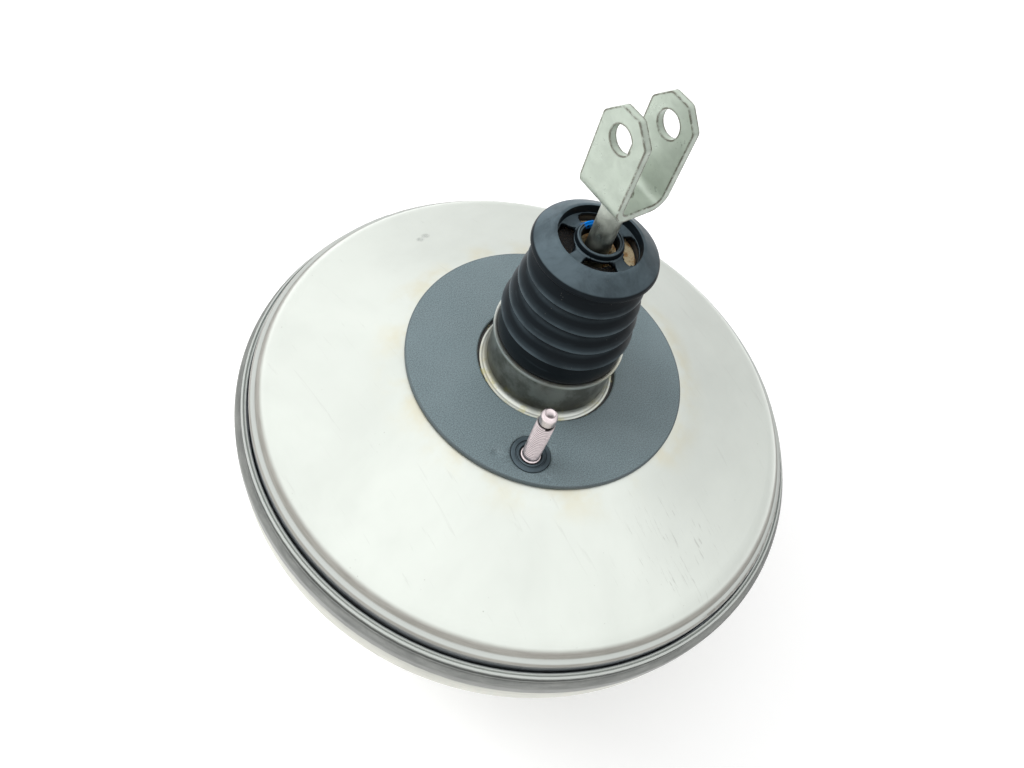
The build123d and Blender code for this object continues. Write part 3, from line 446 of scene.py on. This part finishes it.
def plastic(name, base, roughness=0.45):
    """Moulded plastic with a faint grain."""
    body = Finish(name, base, roughness)
    cloud = body.band(body.noise(80, 4, 0.6), 0.35, 0.7)
    body.set_colour(body.blend(cloud, base, tuple(min(1, c * 1.25 + 0.01) for c in base)))
    body.set_roughness(body.band(body.noise(200, 3), 0.3, 0.7, roughness * 0.85, roughness * 1.15))
    body.bump(body.noise(1200, 2, 0.5), 0.00003, 0.3)
    return body.material


def open_foam(name, base):
    """Open-cell filter foam: pores painted dark as shade in the cells, browned in places, an oil film
    in one slot and painted shadow in another.
    """
    foam = Finish(name, base, 0.9)
    pores = foam.cells(1300)
    brown = tuple(c * f for c, f in zip(base, (0.72, 0.5, 0.34)))
    stain = foam.band(foam.noise(190, 4, 0.6), 0.45, 0.62)
    colour = foam.blend(stain, base, brown)
    # Near-black spots: painted shadow in one slot, an oil film in the other.
    for angle in OILED_AND_SHADED_SLOT_ANGLES:
        spot = Matrix.Rotation(radians(angle), 3, "Z") @ Vector(OILED_AND_SHADED_SLOT_AT)
        colour = foam.blend(foam.near(spot, 0.0085, 0.003), colour, (0.012, 0.012, 0.012))
    # Painted shade: each pore is darkened towards its middle.
    colour = foam.blend(foam.band(pores, 0.0, 0.35, 0.75, 0.0), colour, tuple(c * 0.25 for c in brown))
    foam.set_colour(colour)
    foam.bump(pores, 0.0004, 0.9)
    return foam.material


def pressed_felt(name, base):
    """Grey needled felt with stray fibres."""
    felt = Finish(name, base, 0.95)
    fibres = felt.noise(1.0, 5, 0.7, 1.4, felt.scaled((900, 300, 900)))
    felt.set_colour(felt.blend(felt.band(fibres, 0.35, 0.65), tuple(c * 0.55 for c in base), base))
    felt.bump(fibres, 0.0003, 0.8)
    return felt.material


def finishes(settings):
    """Every finish, by the name of the record's material slot."""
    rubber = (0.005, 0.008, 0.0105)
    return {
        "rear_paint": satin_silver("rear_silver", settings, True),
        "front_paint": satin_silver("front_silver", settings, False),
        "gasket": gasket_fibre("gasket_facing", settings),
        "collar_rubber": black_rubber("collar_rubber", (0.02, 0.028, 0.032), settings, 0.8),
        "plain_steel": zinc("plain_steel", (0.42, 0.42, 0.41), 0.42),
        "stud_zinc": zinc("stud_zinc", (0.68, 0.6, 0.61), 0.3, 0.08),
        "rubber": black_rubber("seal_rubber", rubber, settings, 0.3),
        "valve_plastic": plastic("valve_plastic", (0.02, 0.02, 0.022)),
        "spring_steel": zinc("spring_steel", (0.36, 0.35, 0.34), 0.32),
        "bush_plastic": plastic("bush_plastic", (0.62, 0.6, 0.54)),
        "body_plastic": plastic("body_plastic", (0.035, 0.033, 0.032), 0.5),
        "machined_steel": zinc("machined_steel", (0.55, 0.54, 0.52), 0.25, 0.05),
        "felt": pressed_felt("silencer_felt", (0.3, 0.3, 0.29)),
        "foam": open_foam("filter_foam", tuple(settings.foam)),
        "rod_zinc": zinc("rod_zinc", (0.4, 0.43, 0.38), 0.36, 0.16, 0.4),
        "clevis_zinc": zinc("clevis_zinc", (0.44, 0.5, 0.43), 0.36, 0.06, 0.9, 0.28),
        "boot_rubber": black_rubber("boot_rubber", rubber, settings, 0.9),
        "cap_rubber": black_rubber("cap_rubber", rubber, settings, 1.0, True),
    }


FINISHES = {}


def finish_of(slot):
    if not FINISHES:
        FINISHES.update(finishes(bpy.context.scene.booster_colours))
    return FINISHES[slot]


# ---- Settings -----------------------------------------------------------------------------------
class BOOSTER_PG_colours(bpy.types.PropertyGroup):
    """Colours that a user would change"""
    silver: FloatVectorProperty(name="Silver", description="Coating of the two shells",
                                default=(0.6, 0.63, 0.59), subtype="COLOR", min=0, max=1)
    gasket: FloatVectorProperty(name="Gasket", description="Facing of the mounting gasket",
                                default=(0.126, 0.168, 0.181), subtype="COLOR", min=0, max=1)
    # Bloom colour of the rubber, used for dust and for painted sheen and highlight.
    bloom: FloatVectorProperty(name="Rubber bloom", description="Pale bloom on the rubber",
                               default=(0.1, 0.135, 0.155), subtype="COLOR", min=0, max=1)
    foam: FloatVectorProperty(name="Foam", description="Air filter foam",
                              default=(0.72, 0.6, 0.38), subtype="COLOR", min=0, max=1)


class BOOSTER_PG_boot(bpy.types.PropertyGroup):
    """Sizes of the dust boot"""
    crest_low: FloatProperty(name="Lowest crest", description="Outer radius of the lowest fold",
                             default=0.0286, unit="LENGTH")
    crest_high: FloatProperty(name="Highest crest", description="Outer radius of the highest fold",
                              default=0.0243, unit="LENGTH")
    fold_depth: FloatProperty(name="Fold depth", description="Crest to valley", default=0.0042,
                              unit="LENGTH")
    foot: FloatProperty(name="Foot radius", description="Radius of the sleeve above the neck",
                        default=0.0278, unit="LENGTH")
    wall: FloatProperty(name="Wall", description="Thickness of the folds", default=0.0011,
                        unit="LENGTH")
    folds: IntProperty(name="Folds", description="Number of folds below the cap", default=4, min=2)
    slots: IntProperty(name="Slots", description="Air slots in the cap", default=4, min=1)


class BOOSTER_PG_thread(bpy.types.PropertyGroup):
    """Thread of the studs"""
    pitch: FloatProperty(name="Pitch", description="Rise of one turn", default=0.00125,
                         unit="LENGTH")
    depth: FloatProperty(name="Depth", description="Crest to root", default=0.00062, unit="LENGTH")


class BOOSTER_PG_stage(bpy.types.PropertyGroup):
    """Lamps, backdrop and camera"""
    lens: FloatProperty(name="Lens", description="Focal length", default=29.643, unit="CAMERA")
    key: FloatProperty(name="Overhead lamp", description="Power of the overhead lamp",
                       default=10.0, unit="POWER")
    window: FloatProperty(name="Window lamp", description="Power of the lamp at the side",
                          default=13.0, unit="POWER")
    fill: FloatProperty(name="Room light", description="Strength of the light from all round",
                        default=0.54)
    far_wall: FloatProperty(name="Far wall", description="What shiny surfaces see on the far side",
                            default=0.9)
    near_wall: FloatProperty(name="Near wall", description="What shiny surfaces see on the lit side",
                             default=1.62)
    lit_side: FloatVectorProperty(name="Lit side", description="Direction of the brighter walls",
                                  default=(-0.5, 0.0, 0.35))


# ---- Operators --------------------------------------------------------------------------------------
class BoosterOperator(bpy.types.Operator):
    """Common part of the operators"""
    bl_options = {"REGISTER", "UNDO"}

    def execute(self, context):
        self.make(context.scene)
        return {"FINISHED"}


class BOOSTER_OT_metal_finishes(BoosterOperator):
    """Gives every part that keeps its own solid the finish of its material slot"""
    bl_idname = "booster.metal_finishes"
    bl_label = "Finish the rigid parts"

    def make(self, scene):
        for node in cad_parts.values():
            for place in node.material_slots:
                place.material = finish_of(place.material.name.split(".")[0])


CAP_Z_MM = 73.4
FIRST_CREST_MM = 34.0
FOLD_PITCH_MM = 9.3


class BOOSTER_OT_boot(BoosterOperator):
    """Builds the folded dust boot and its slotted cap"""
    bl_idname = "booster.boot"
    bl_label = "Build the dust boot"

    def make(self, scene):
        self.bellows(scene.booster_boot)
        self.cap(scene.booster_boot)

    def bellows(self, boot):
        low, high, depth, foot, wall = (v / MM for v in (
            boot.crest_low, boot.crest_high, boot.fold_depth, boot.foot, boot.wall))
        outer = [(foot + 0.1, NECK_TOP_MM + 0.5, 0.4), (foot - 0.5, FIRST_CREST_MM - 1.6, 0.7)]
        for i in range(boot.folds):
            z = FIRST_CREST_MM + i * FOLD_PITCH_MM
            crest = low + (high - low) * i / (boot.folds - 1)
            valley = crest - depth
            above = z + FOLD_PITCH_MM - 1.0 if i < boot.folds - 1 else CAP_Z_MM - 0.2
            outer += [(crest - 2.4, z - 0.7, 0.3), (crest + 0.3, z, 0.45), (crest + 0.1, z + 1.3, 0.9),
                      (crest - 2.0, z + 4.6, 3.0), (valley, above - 1.6, 1.6), (valley, above, 0.4)]
        outer[-1] = (outer[-1][0], CAP_Z_MM + 1.4)
        inner = [(max(r - wall, 20.6), z) for r, z, *_ in outer[1:]]
        inner[0] = (foot - wall - 0.5, NECK_TOP_MM + 1.6)
        corners = [(26.1, 17.3, 0.5), (26.1, NECK_TOP_MM + 0.2, 0.3),
                   (foot - 0.3, NECK_TOP_MM + 0.2, 0.3)]
        corners += outer + [(r, z, 0.8) for r, z in reversed(inner)]
        corners += [(24.6, NECK_TOP_MM + 1.6, 0.5), (24.6, 19.5, 0.5), (21.4, 19, 0.5),
                    (21.4, 17.3, 0.5)]
        bm = bmesh.new()
        spin_profile(bm, rounded(corners, True), 128)
        # The crest layer marks each fold's crest for a painted highlight.
        lit = bm.verts.layers.float.new("crest")
        for vert in bm.verts:
            up = (vert.co.z / MM - FIRST_CREST_MM) / FOLD_PITCH_MM + 0.1
            if 0 < up < boot.folds:
                vert[lit] = max(0, 1 - max(0, up % 1 - 0.13) / 0.22)
            self.slacken(vert.co)
        piece = finish_piece(bm, "dust_boot", "housing", finish_of("boot_rubber"),
                             ["boot_bellows"])
        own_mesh(piece)

    @staticmethod
    def slacken(co):
        """Leaves the folds slightly out of true, as worn rubber hangs."""
        share = sin(pi * min(1, max(0, (co.z / MM - NECK_TOP_MM) / (CAP_Z_MM - NECK_TOP_MM))))
        wander = noise.noise(co * 42 + Vector((3, 1, 0)))
        co.z += wander * 0.0007 * share
        co.xy *= 1 + 0.006 * share * noise.noise(co * 60)

    def cap(self, boot):
        web, phase = radians(24), radians(7)
        steps = 144
        floor, top = 77.4, 81.0
        rings = (16.4, 15.8, 14.8, 13.2, 11.6, 10.6, 10.0)
        corners = [(20.1, CAP_Z_MM + 1.6), (24.2, CAP_Z_MM + 1.6, 0.3), (24.4, CAP_Z_MM, 0.3),
                   (25.5, CAP_Z_MM - 0.3, 0.4), (26.1, CAP_Z_MM + 0.7, 0.5),
                   (25.6, CAP_Z_MM + 2.3, 0.9),
                   (18.2, top - 0.1, 1.0), (17.0, top, 0.4), (16.7, floor, 0.6)]
        corners += [(r, floor) for r in rings]
        corners += [(9.8, floor + 0.3, 0.3), (9.5, top - 0.6, 0.4), (9.0, top - 0.2, 0.2),
                    (8.6, top - 0.2, 0.15), (8.4, top - 0.7, 0.2), (7.7, top - 0.8, 0.3),
                    (7.6, floor - 2.0)]
        corners += [(r, floor - 1.6) for r in reversed(rings)]
        corners += [(16.9, floor - 1.6), (16.9, floor - 2.0), (20.1, floor - 2.0)]
        bm = bmesh.new()
        spin_profile(bm, rounded(corners, True), steps)
        pitch = FULL_TURN / boot.slots

        def in_slot(face):
            centre = face.calc_center_median()
            r, z = centre.xy.length / MM, centre.z / MM
            if not (rings[-1] < r < rings[0] and min(abs(z - floor), abs(z - floor + 1.6)) < 0.05):
                return False
            turn = (Vector((1, 0)).angle_signed(centre.xy) * -1 - phase) % pitch
            if turn > pitch - web / 2 or turn < web / 2:
                return False
            past = min(turn - web / 2, pitch - web / 2 - turn) * r
            middle, half = (rings[0] + rings[-1]) / 2, (rings[0] - rings[-1]) / 2
            return (r - middle) ** 2 + max(0, half - past) ** 2 < half ** 2 * 1.02

        holes = [f for f in bm.faces if in_slot(f)]
        bmesh.ops.delete(bm, geom=holes, context="FACES")
        rims = [e for e in bm.edges if e.is_boundary]
        groups = {}
        for edge in rims:
            middle = (edge.verts[0].co + edge.verts[1].co) / 2
            turn = (Vector((1, 0)).angle_signed(middle.xy) * -1 - phase) % FULL_TURN
            groups.setdefault(int(turn / pitch), []).append(edge)
        for edges in groups.values():
            bmesh.ops.bridge_loops(bm, edges=edges)
        for vert in bm.verts:
            r, z = vert.co.xy.length / MM, vert.co.z / MM
            if rings[-1] < r < rings[0] and floor - 1.7 < z < floor + 0.05:
                share = (r - rings[-1]) / (rings[0] - rings[-1])
                vert.co.z += (1.6 * (1 - share) ** 2 - 0.9 * sin(pi * share)) * MM
        finish_piece(bm, "boot_end_cap", "power_piston", finish_of("cap_rubber"),
                     ["boot_cap"])


class BOOSTER_OT_filters(BoosterOperator):
    """Builds the foam air filter and the felt silencer inside the tail"""
    bl_idname = "booster.filters"
    bl_label = "Build the filters"

    def make(self, scene):
        for node, name, slot, bore, fill in (
                ("air_filter_foam", "filter_foam", "foam", 7.9, 0.7),
                ("silencer_felt", "felt_silencer", "felt", 8.1, 0.8)):
            low, high = (c.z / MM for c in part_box(node))
            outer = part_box(node)[1].x / MM - 0.1
            corners = [(bore, low, 1.0), (outer, low, 1.0), (outer, high, 1.6), (bore, high, 1.6)]
            bm = bmesh.new()
            spin_profile(bm, rounded(corners, True), 96)
            bmesh.ops.subdivide_edges(bm, edges=bm.edges, cuts=1, use_grid_fill=True)
            middle = Vector((0, 0, (low + high) / 2 * MM))
            for vert in bm.verts:
                dent = noise.noise(vert.co * 420) * 0.00035 + noise.noise(vert.co * 110) * 0.0004
                vert.co -= (vert.co - middle).normalized() * abs(dent)
            piece = finish_piece(bm, name, "power_piston", finish_of(slot), [node])


class BOOSTER_OT_diaphragm(BoosterOperator):
    """Builds the rubber diaphragm and its outer fold"""
    bl_idname = "booster.diaphragm"
    bl_label = "Build the diaphragm"

    def make(self, scene):
        half = 0.9
        path = [(28.4, -15.9, 0.6), (57.3, -15.9, 3), (119.7, -30.4, 2.2), (122.2, -43.1, 1.6),
                (127.6, -43.1)]
        upper = [(r + lean, z + rise, *bend) for (r, z, *bend), lean, rise in zip(
            path, (0, 0, half, half, 0), (half, half, half / 2, half, half))]
        lower = [(r - lean, z - rise, *bend) for (r, z, *bend), lean, rise in zip(
            path, (0, 0, half, half, 0), (half, half, half / 2, half, half))]
        corners = [(24.6, -16.7, 0.5), (24.6, -12.9, 0.8), (28.4, -12.9, 0.8)] + upper
        corners += [(127.6, -41.2, 0.4), (134.4, -41.2, 0.6), (134.4, -45.0, 1.0),
                    (126.8, -45.0, 0.6)] + list(reversed(lower))
        bm = bmesh.new()
        spin_profile(bm, rounded(corners, True), 160)
        piece = finish_piece(bm, "rolling_diaphragm", None, finish_of("rubber"),
                             ["diaphragm"])
        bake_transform(piece)


class BOOSTER_OT_seals(BoosterOperator):
    """Builds the gasket, the stud collars, the grommet and the master cylinder's seal"""
    bl_idname = "booster.seals"
    bl_label = "Build the seals"

    def make(self, scene):
        self.gasket()
        self.collars()
        for name, node, y, corners in (
                ("valve_grommet", "check_valve_grommet", VALVE_Y_MM, self.grommet()),
                ("cylinder_seal_ring", "master_cylinder_seal", 0, self.seal_ring())):
            bm = bmesh.new()
            spin_profile(bm, rounded(corners, True), 96)
            bmesh.ops.translate(bm, vec=(0, y * MM, 0), verts=bm.verts)
            finish_piece(bm, name, "housing", finish_of("rubber"), [node])

    def gasket(self):
        radii = [32.35] + [33 + i * 31.2 / 52 for i in range(53)]
        bm = bmesh.new()
        top = [(32.3, -1.95), (32.3, -0.3)] + [(r, 0) for r in radii]
        top += [(64.55, -0.35), (64.55, -1.95)]
        spin_profile(bm, top, 320)
        studs = [Matrix.Rotation(radians(a), 4, "Z") @ Vector((STUD_CIRCLE_MM * MM, 0, 0))
                 for a in STUD_ANGLES]
        in_collar = [f for f in bm.faces if f.calc_center_median().z > -MM and min(
            (f.calc_center_median() - s).xy.length for s in studs) < (COLLAR_R_MM + 0.15) * MM]
        bmesh.ops.delete(bm, geom=in_collar, context="FACES")
        for vert in bm.verts:
            if vert.co.z > -0.5 * MM:
                vert.co.z += self.sag(vert.co, studs)
        rims = [e for e in bm.edges if e.is_boundary and min(
            (e.verts[0].co - s).xy.length for s in studs) < 11 * MM]
        for vert in {v for e in rims for v in e.verts}:
            stud = min(studs, key=lambda s: (vert.co - s).xy.length)
            away = (vert.co - stud).xy.normalized() * (COLLAR_R_MM + 0.2) * MM
            vert.co.xy = stud.xy + away
        wall = bmesh.ops.extrude_edge_only(bm, edges=rims)["geom"]
        bmesh.ops.translate(bm, vec=(0, 0, -1.5 * MM),
                            verts=[v for v in wall if isinstance(v, bmesh.types.BMVert)])
        finish_piece(bm, "mounting_facing", "housing", finish_of("gasket"),
                     ["mounting_gasket"])

    @staticmethod
    def sag(co, studs):
        """The facing is a little hollow round each stud and carries two pressed creases."""
        sunk = 0
        for stud in studs:
            away = (co - stud).xy.length / MM
            sunk -= 0.35 * max(0, 1 - (away - COLLAR_R_MM - 0.05) / 6) ** 2
        for x, y, size, deep in DENTS_MM:
            away = ((co.x / MM - x) ** 2 + (co.y / MM - y) ** 2) ** 0.5
            sunk -= deep * max(0, 1 - away / size) ** 2
        return (sunk + 0.05 * noise.noise(co * 90)) * MM

    def collars(self):
        corners = [(4.7, -1.9), (COLLAR_R_MM, -1.9), (COLLAR_R_MM, -0.25, 0.3),
                   (8.2, 0.0, 0.3), (6.9, 0, 0.15), (6.7, -0.45, 0.2), (6.2, -0.45, 0.2),
                   (6.0, 0, 0.2), (5.2, 0, 0.3), (4.7, -0.6, 0.3)]
        bm = bmesh.new()
        spin_profile(bm, rounded(corners, True), 64)
        first = bm.verts[:] + bm.edges[:] + bm.faces[:]
        copy = bmesh.ops.duplicate(bm, geom=first)["geom"]
        for geometry, angle in zip((first, copy), STUD_ANGLES):
            verts = [v for v in geometry if isinstance(v, bmesh.types.BMVert)]
            move = Matrix.Rotation(radians(angle), 4, "Z") @ Matrix.Translation(
                (STUD_CIRCLE_MM * MM, 0, 0))
            bmesh.ops.transform(bm, matrix=move, verts=verts)
        finish_piece(bm, "stud_collars", "housing", finish_of("collar_rubber"),
                     ["stud_seals"])

    @staticmethod
    def grommet():
        return [(8.05, -110), (15.4, -110, 0.9), (15.5, -107.1, 0.5), (12, -107), (12, -105.7),
                (14.4, -105.6, 0.6), (12, -102.8, 0.8), (8.05, -102.7, 0.4)]

    @staticmethod
    def seal_ring():
        return [(22.5, -107.6, 0.4), (23.95, -107.6, 0.2), (23.95, -106.7), (24.5, -106.6, 0.2),
                (24.5, -105.8, 0.3), (22.5, -105.8, 0.4)]


DENTS_MM = ((-48.2, -27.9, 3.6, 1.1), (-36.5, -48.4, 3.0, 1.0))


class BOOSTER_OT_studs(BoosterOperator):
    """Cuts the threads of the firewall studs and of the master cylinder's studs"""
    bl_idname = "booster.studs"
    bl_label = "Build the studs"

    def make(self, scene):
        thread = scene.booster_thread
        firewall = [(0, -9.4), (7, -9.4, 0.6), (7, -6.8, 0.3), (4.35, -6.8), (4.35, -0.1, 0.1),
                    (3.9, 0), (3.9, 1.6, 0.4), (3.36, 3.0), (3.36, 24.2), (2.8, 24.8),
                    (2.8, 26.2, 0.3), (3.5, 26.8, 0.3), (3.5, 30.8, 0.6), (2.9, 32.1, 0.5),
                    (2.2, 32.5, 0.3), (1.5, 31.9, 0.3), (0, 31.7)]
        self.pair("firewall_stud_pair", firewall, STUD_CIRCLE_MM, STUD_ANGLES[0], 2.4, 24.6,
                  thread, "firewall_studs")
        cylinder = [(0, -132), (2.9, -132, 0.6), (3.36, -131), (3.36, -110), (3.9, -109.2, 0.3),
                    (3.9, -108), (4.35, -107.9), (4.35, -103.7), (7, -103.7, 0.3),
                    (7, -101.1, 0.6), (0, -101.1)]
        self.pair("cylinder_stud_pair", cylinder, 40, 0, -131.4, -109.6, thread,
                  "master_cylinder_studs")

    def pair(self, name, core, circle_r, angle, low, high, thread, node):
        bm = bmesh.new()
        geometry = profile_edges(bm, rounded(core), False)
        bmesh.ops.spin(bm, geom=geometry, cent=(0, 0, 0), axis=Z_AXIS, dvec=(0, 0, 0),
                       angle=FULL_TURN, steps=48, use_merge=True, use_duplicate=False)
        self.thread(bm, low, high, thread)
        bmesh.ops.remove_doubles(bm, verts=bm.verts, dist=1e-6)
        # The hollow layer marks the thread roots, where the zinc is painted with shade.
        hollow = bm.verts.layers.float.new("hollow")
        for vert in bm.verts:
            if low < vert.co.z / MM < high + 1.8:
                vert[hollow] = min(1, max(0, (3.9 - vert.co.xy.length / MM) / 0.5))
        first = bm.verts[:] + bm.edges[:] + bm.faces[:]
        copy = bmesh.ops.duplicate(bm, geom=first)["geom"]
        turned = Matrix.Rotation(radians(angle), 4, "Z") @ Matrix.Translation((circle_r * MM, 0, 0))
        for geometry, matrix in ((first, turned), (copy, Matrix.Rotation(pi, 4, "Z") @ turned)):
            verts = [v for v in geometry if isinstance(v, bmesh.types.BMVert)]
            bmesh.ops.transform(bm, matrix=matrix, verts=verts)
        finish_piece(bm, name, "housing", finish_of("stud_zinc"), [node])

    @staticmethod
    def thread(bm, low, high, thread):
        """A helical ridge round the stud between two heights."""
        pitch, root, steps = thread.pitch / MM, THREAD_R_MM - thread.depth / MM, 40
        tooth = [(root, 0), (root, 0.12), (THREAD_R_MM, 0.44), (THREAD_R_MM, 0.56), (root, 0.88),
                 (root, 1)]
        verts = [bm.verts.new((r * MM, 0, (low - pitch + z * pitch) * MM)) for r, z in tooth]
        edges = [bm.edges.new(pair) for pair in zip(verts, verts[1:])]
        turns = int((high - low) / pitch) + 2
        bmesh.ops.spin(bm, geom=verts + edges, cent=(0, 0, 0), axis=Z_AXIS,
                       dvec=(0, 0, thread.pitch / steps), angle=FULL_TURN * turns,
                       steps=steps * turns, use_merge=False, use_duplicate=False)
        skin = [v for v in bm.verts
                if root - 0.02 < v.co.xy.length / MM < THREAD_R_MM + 0.005
                and low - 2 * pitch < v.co.z / MM < high + 3 * pitch]
        bmesh.ops.remove_doubles(bm, verts=skin, dist=1e-6)


class BOOSTER_OT_springs(BoosterOperator):
    """Winds the springs"""
    bl_idname = "booster.springs"
    bl_label = "Wind the springs"

    SPRINGS = (
        # name, node, body, joint, travel, radius, end radius, wire, turns, centre
        ("piston_spring", "return_spring", "housing", "piston_slide", 30, 28.5, 28.5, 1.7, 6, 0),
        ("pedal_rod_spring", "rod_return_spring", "power_piston", "plunger_slide", 1.4, 11.4, 7.3,
         0.8, 5, 0),
        ("valve_disc_spring", "check_valve_spring", "housing", "check_valve_lift", 2, 5, 5, 0.4, 4,
         VALVE_Y_MM),
        ("sealing_cup_spring", "poppet_spring", "power_piston", None, 0, 8.2, 8.2, 0.5, 3, 0),
    )

    def make(self, scene):
        for name, node, body, joint, travel, radius, end, wire, turns, y in self.SPRINGS:
            low, high = (c.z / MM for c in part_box(node))
            bm = bmesh.new()
            ring = bmesh.ops.create_circle(bm, cap_ends=True, segments=12, radius=wire * MM)["verts"]
            stand = Matrix.Translation((radius * MM, 0, (low + wire) * MM)) @ Matrix.Rotation(
                pi / 2, 4, "X")
            bmesh.ops.transform(bm, matrix=stand, verts=ring)
            steps = 36 * turns
            rise = (high - low - 2 * wire) * MM
            bmesh.ops.spin(bm, geom=list(bm.faces), cent=(0, 0, 0), axis=Z_AXIS,
                           dvec=(0, 0, rise / steps), angle=FULL_TURN * turns, steps=steps,
                           use_merge=False, use_duplicate=False)
            for vert in bm.verts:
                share = min(1, max(0, (vert.co.z - low * MM) / ((high - low) * MM)))
                mid = vert.co.xy.normalized() * (radius + (end - radius) * share) * MM
                away = vert.co.xy.length - radius * MM
                vert.co.xy = mid + vert.co.xy.normalized() * away
                vert.co.y += y * MM
            piece = finish_piece(bm, name, body, finish_of("spring_steel"), [node])
            if joint:
                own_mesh(piece)


class BOOSTER_OT_stage(BoosterOperator):
    """Sets the floor, the room light, the lamps and the camera"""
    bl_idname = "booster.stage"
    bl_label = "Set the stage"

    def make(self, scene):
        settings = scene.booster_stage
        self.floor(CAD_BOX[0].z)
        self.room(scene, settings)
        self.lamp("overhead", (-0.2, 0.29, 1.15), 1.9, settings.key)
        self.lamp("window", (-0.65, 0.97, 0.75), 1.0, settings.window)
        self.camera(scene, settings)

    @staticmethod
    def floor(z):
        bm = bmesh.new()
        bmesh.ops.create_grid(bm, x_segments=1, y_segments=1, size=6)
        bmesh.ops.translate(bm, vec=(0, 0, z - 0.0002), verts=bm.verts)
        mesh = bpy.data.meshes.new("floor")
        bm.to_mesh(mesh)
        bm.free()
        paper = Finish("white_paper", (0.8, 0.8, 0.8), 0.9)
        paper.bump(paper.noise(300, 3), 0.0001, 0.2)
        path = paper.node("ShaderNodeLightPath")
        seen = paper.maths("ADD", paper.maths("MULTIPLY", path.outputs["Is Camera Ray"], 0.36),
                           paper.maths("MULTIPLY", path.outputs["Is Glossy Ray"], 0.65))
        paper.shader.inputs["Emission Color"].default_value = (1, 1, 1, 1)
        paper.feed(seen, paper.shader.inputs["Emission Strength"])
        mesh.materials.append(paper.material)
        floor = bpy.data.objects.new("floor", mesh)
        bpy.context.scene.collection.objects.link(floor)

    @staticmethod
    def room(scene, settings):
        world = bpy.data.worlds.new("room")
        world.use_nodes = True
        scene.world = world
        tree = world.node_tree
        backdrop = tree.nodes["Background"]
        backdrop.inputs["Color"].default_value = (1, 1, 1, 1)
        path = tree.nodes.new("ShaderNodeLightPath")
        place = tree.nodes.new("ShaderNodeTexCoord")

        def between(value, low, high, at_low, at_high):
            made = tree.nodes.new("ShaderNodeMapRange")
            tree.links.new(value, made.inputs["Value"])
            for key, number in (("From Min", low), ("From Max", high), ("To Min", at_low),
                                ("To Max", at_high)):
                made.inputs[key].default_value = number
            return made.outputs["Result"]

        def join(operation, a, b):
            made = tree.nodes.new("ShaderNodeMath")
            made.operation = operation
            tree.links.new(a, made.inputs[0])
            tree.links.new(b, made.inputs[1])
            return made.outputs[0]

        toward = tree.nodes.new("ShaderNodeVectorMath")
        toward.operation = "DOT_PRODUCT"
        tree.links.new(place.outputs["Generated"], toward.inputs[0])
        toward.inputs[1].default_value = settings.lit_side
        walls = between(toward.outputs["Value"], -0.45, 0.2, settings.far_wall, settings.near_wall)
        share = between(path.outputs["Is Glossy Ray"], 0, 1, settings.fill, 0)
        glossy = join("MULTIPLY", walls, path.outputs["Is Glossy Ray"])
        level = join("MAXIMUM", join("ADD", share, glossy), path.outputs["Is Camera Ray"])
        tree.links.new(level, backdrop.inputs["Strength"])

    @staticmethod
    def lamp(name, place, size, power):
        data = bpy.data.lights.new(name, "AREA")
        data.shape = "DISK"
        data.size = size
        data.energy = power
        lamp = bpy.data.objects.new(name, data)
        lamp.location = place
        lamp.visible_glossy = False
        lamp.rotation_mode = "QUATERNION"
        lamp.rotation_quaternion = (-Vector(place)).to_track_quat("-Z", "Y")
        bpy.context.scene.collection.objects.link(lamp)

    @staticmethod
    def camera(scene, settings):
        data = bpy.data.cameras.new("bench_camera")
        data.lens = settings.lens
        data.sensor_width = 36
        data.shift_x, data.shift_y = -0.02361, 0.00623
        data.clip_start, data.clip_end = 0.01, 20
        camera = bpy.data.objects.new("bench_camera", data)
        camera.location = (-0.19946, -0.13454, 0.29976)
        camera.rotation_euler = Euler((radians(a) for a in (34.131, -14.019, -36.569)), "XYZ")
        scene.collection.objects.link(camera)
        scene.camera = camera
        scene.view_settings.view_transform = "Standard"


class BOOSTER_PT_panel(bpy.types.Panel):
    """Settings and steps of the booster"""
    bl_idname = "BOOSTER_PT_panel"
    bl_label = "Brake booster"
    bl_space_type = "VIEW_3D"
    bl_region_type = "UI"
    bl_category = "Booster"

    def draw(self, context):
        for name in GROUPS:
            box = self.layout.box()
            group = getattr(context.scene, name)
            for prop in group.bl_rna.properties:
                if not prop.is_readonly and prop.identifier != "name":
                    box.prop(group, prop.identifier)
        for step in STEPS:
            self.layout.operator(step.bl_idname)


GROUPS = {
    "booster_colours": BOOSTER_PG_colours,
    "booster_boot": BOOSTER_PG_boot,
    "booster_thread": BOOSTER_PG_thread,
    "booster_stage": BOOSTER_PG_stage,
}
STEPS = (BOOSTER_OT_metal_finishes, BOOSTER_OT_boot, BOOSTER_OT_filters, BOOSTER_OT_diaphragm,
         BOOSTER_OT_seals, BOOSTER_OT_studs, BOOSTER_OT_springs, BOOSTER_OT_stage)


def register():
    for cls in (*GROUPS.values(), *STEPS, BOOSTER_PT_panel):
        bpy.utils.register_class(cls)
    for name, group in GROUPS.items():
        setattr(bpy.types.Scene, name, PointerProperty(type=group))


def unregister():
    for name in GROUPS:
        delattr(bpy.types.Scene, name)
    for cls in (BOOSTER_PT_panel, *reversed(STEPS), *reversed(GROUPS.values())):
        bpy.utils.unregister_class(cls)


def main():
    register()
    for step in STEPS:
        group, call = step.bl_idname.split(".")
        getattr(getattr(bpy.ops, group), call)()


if __name__ == "__main__":
    main()
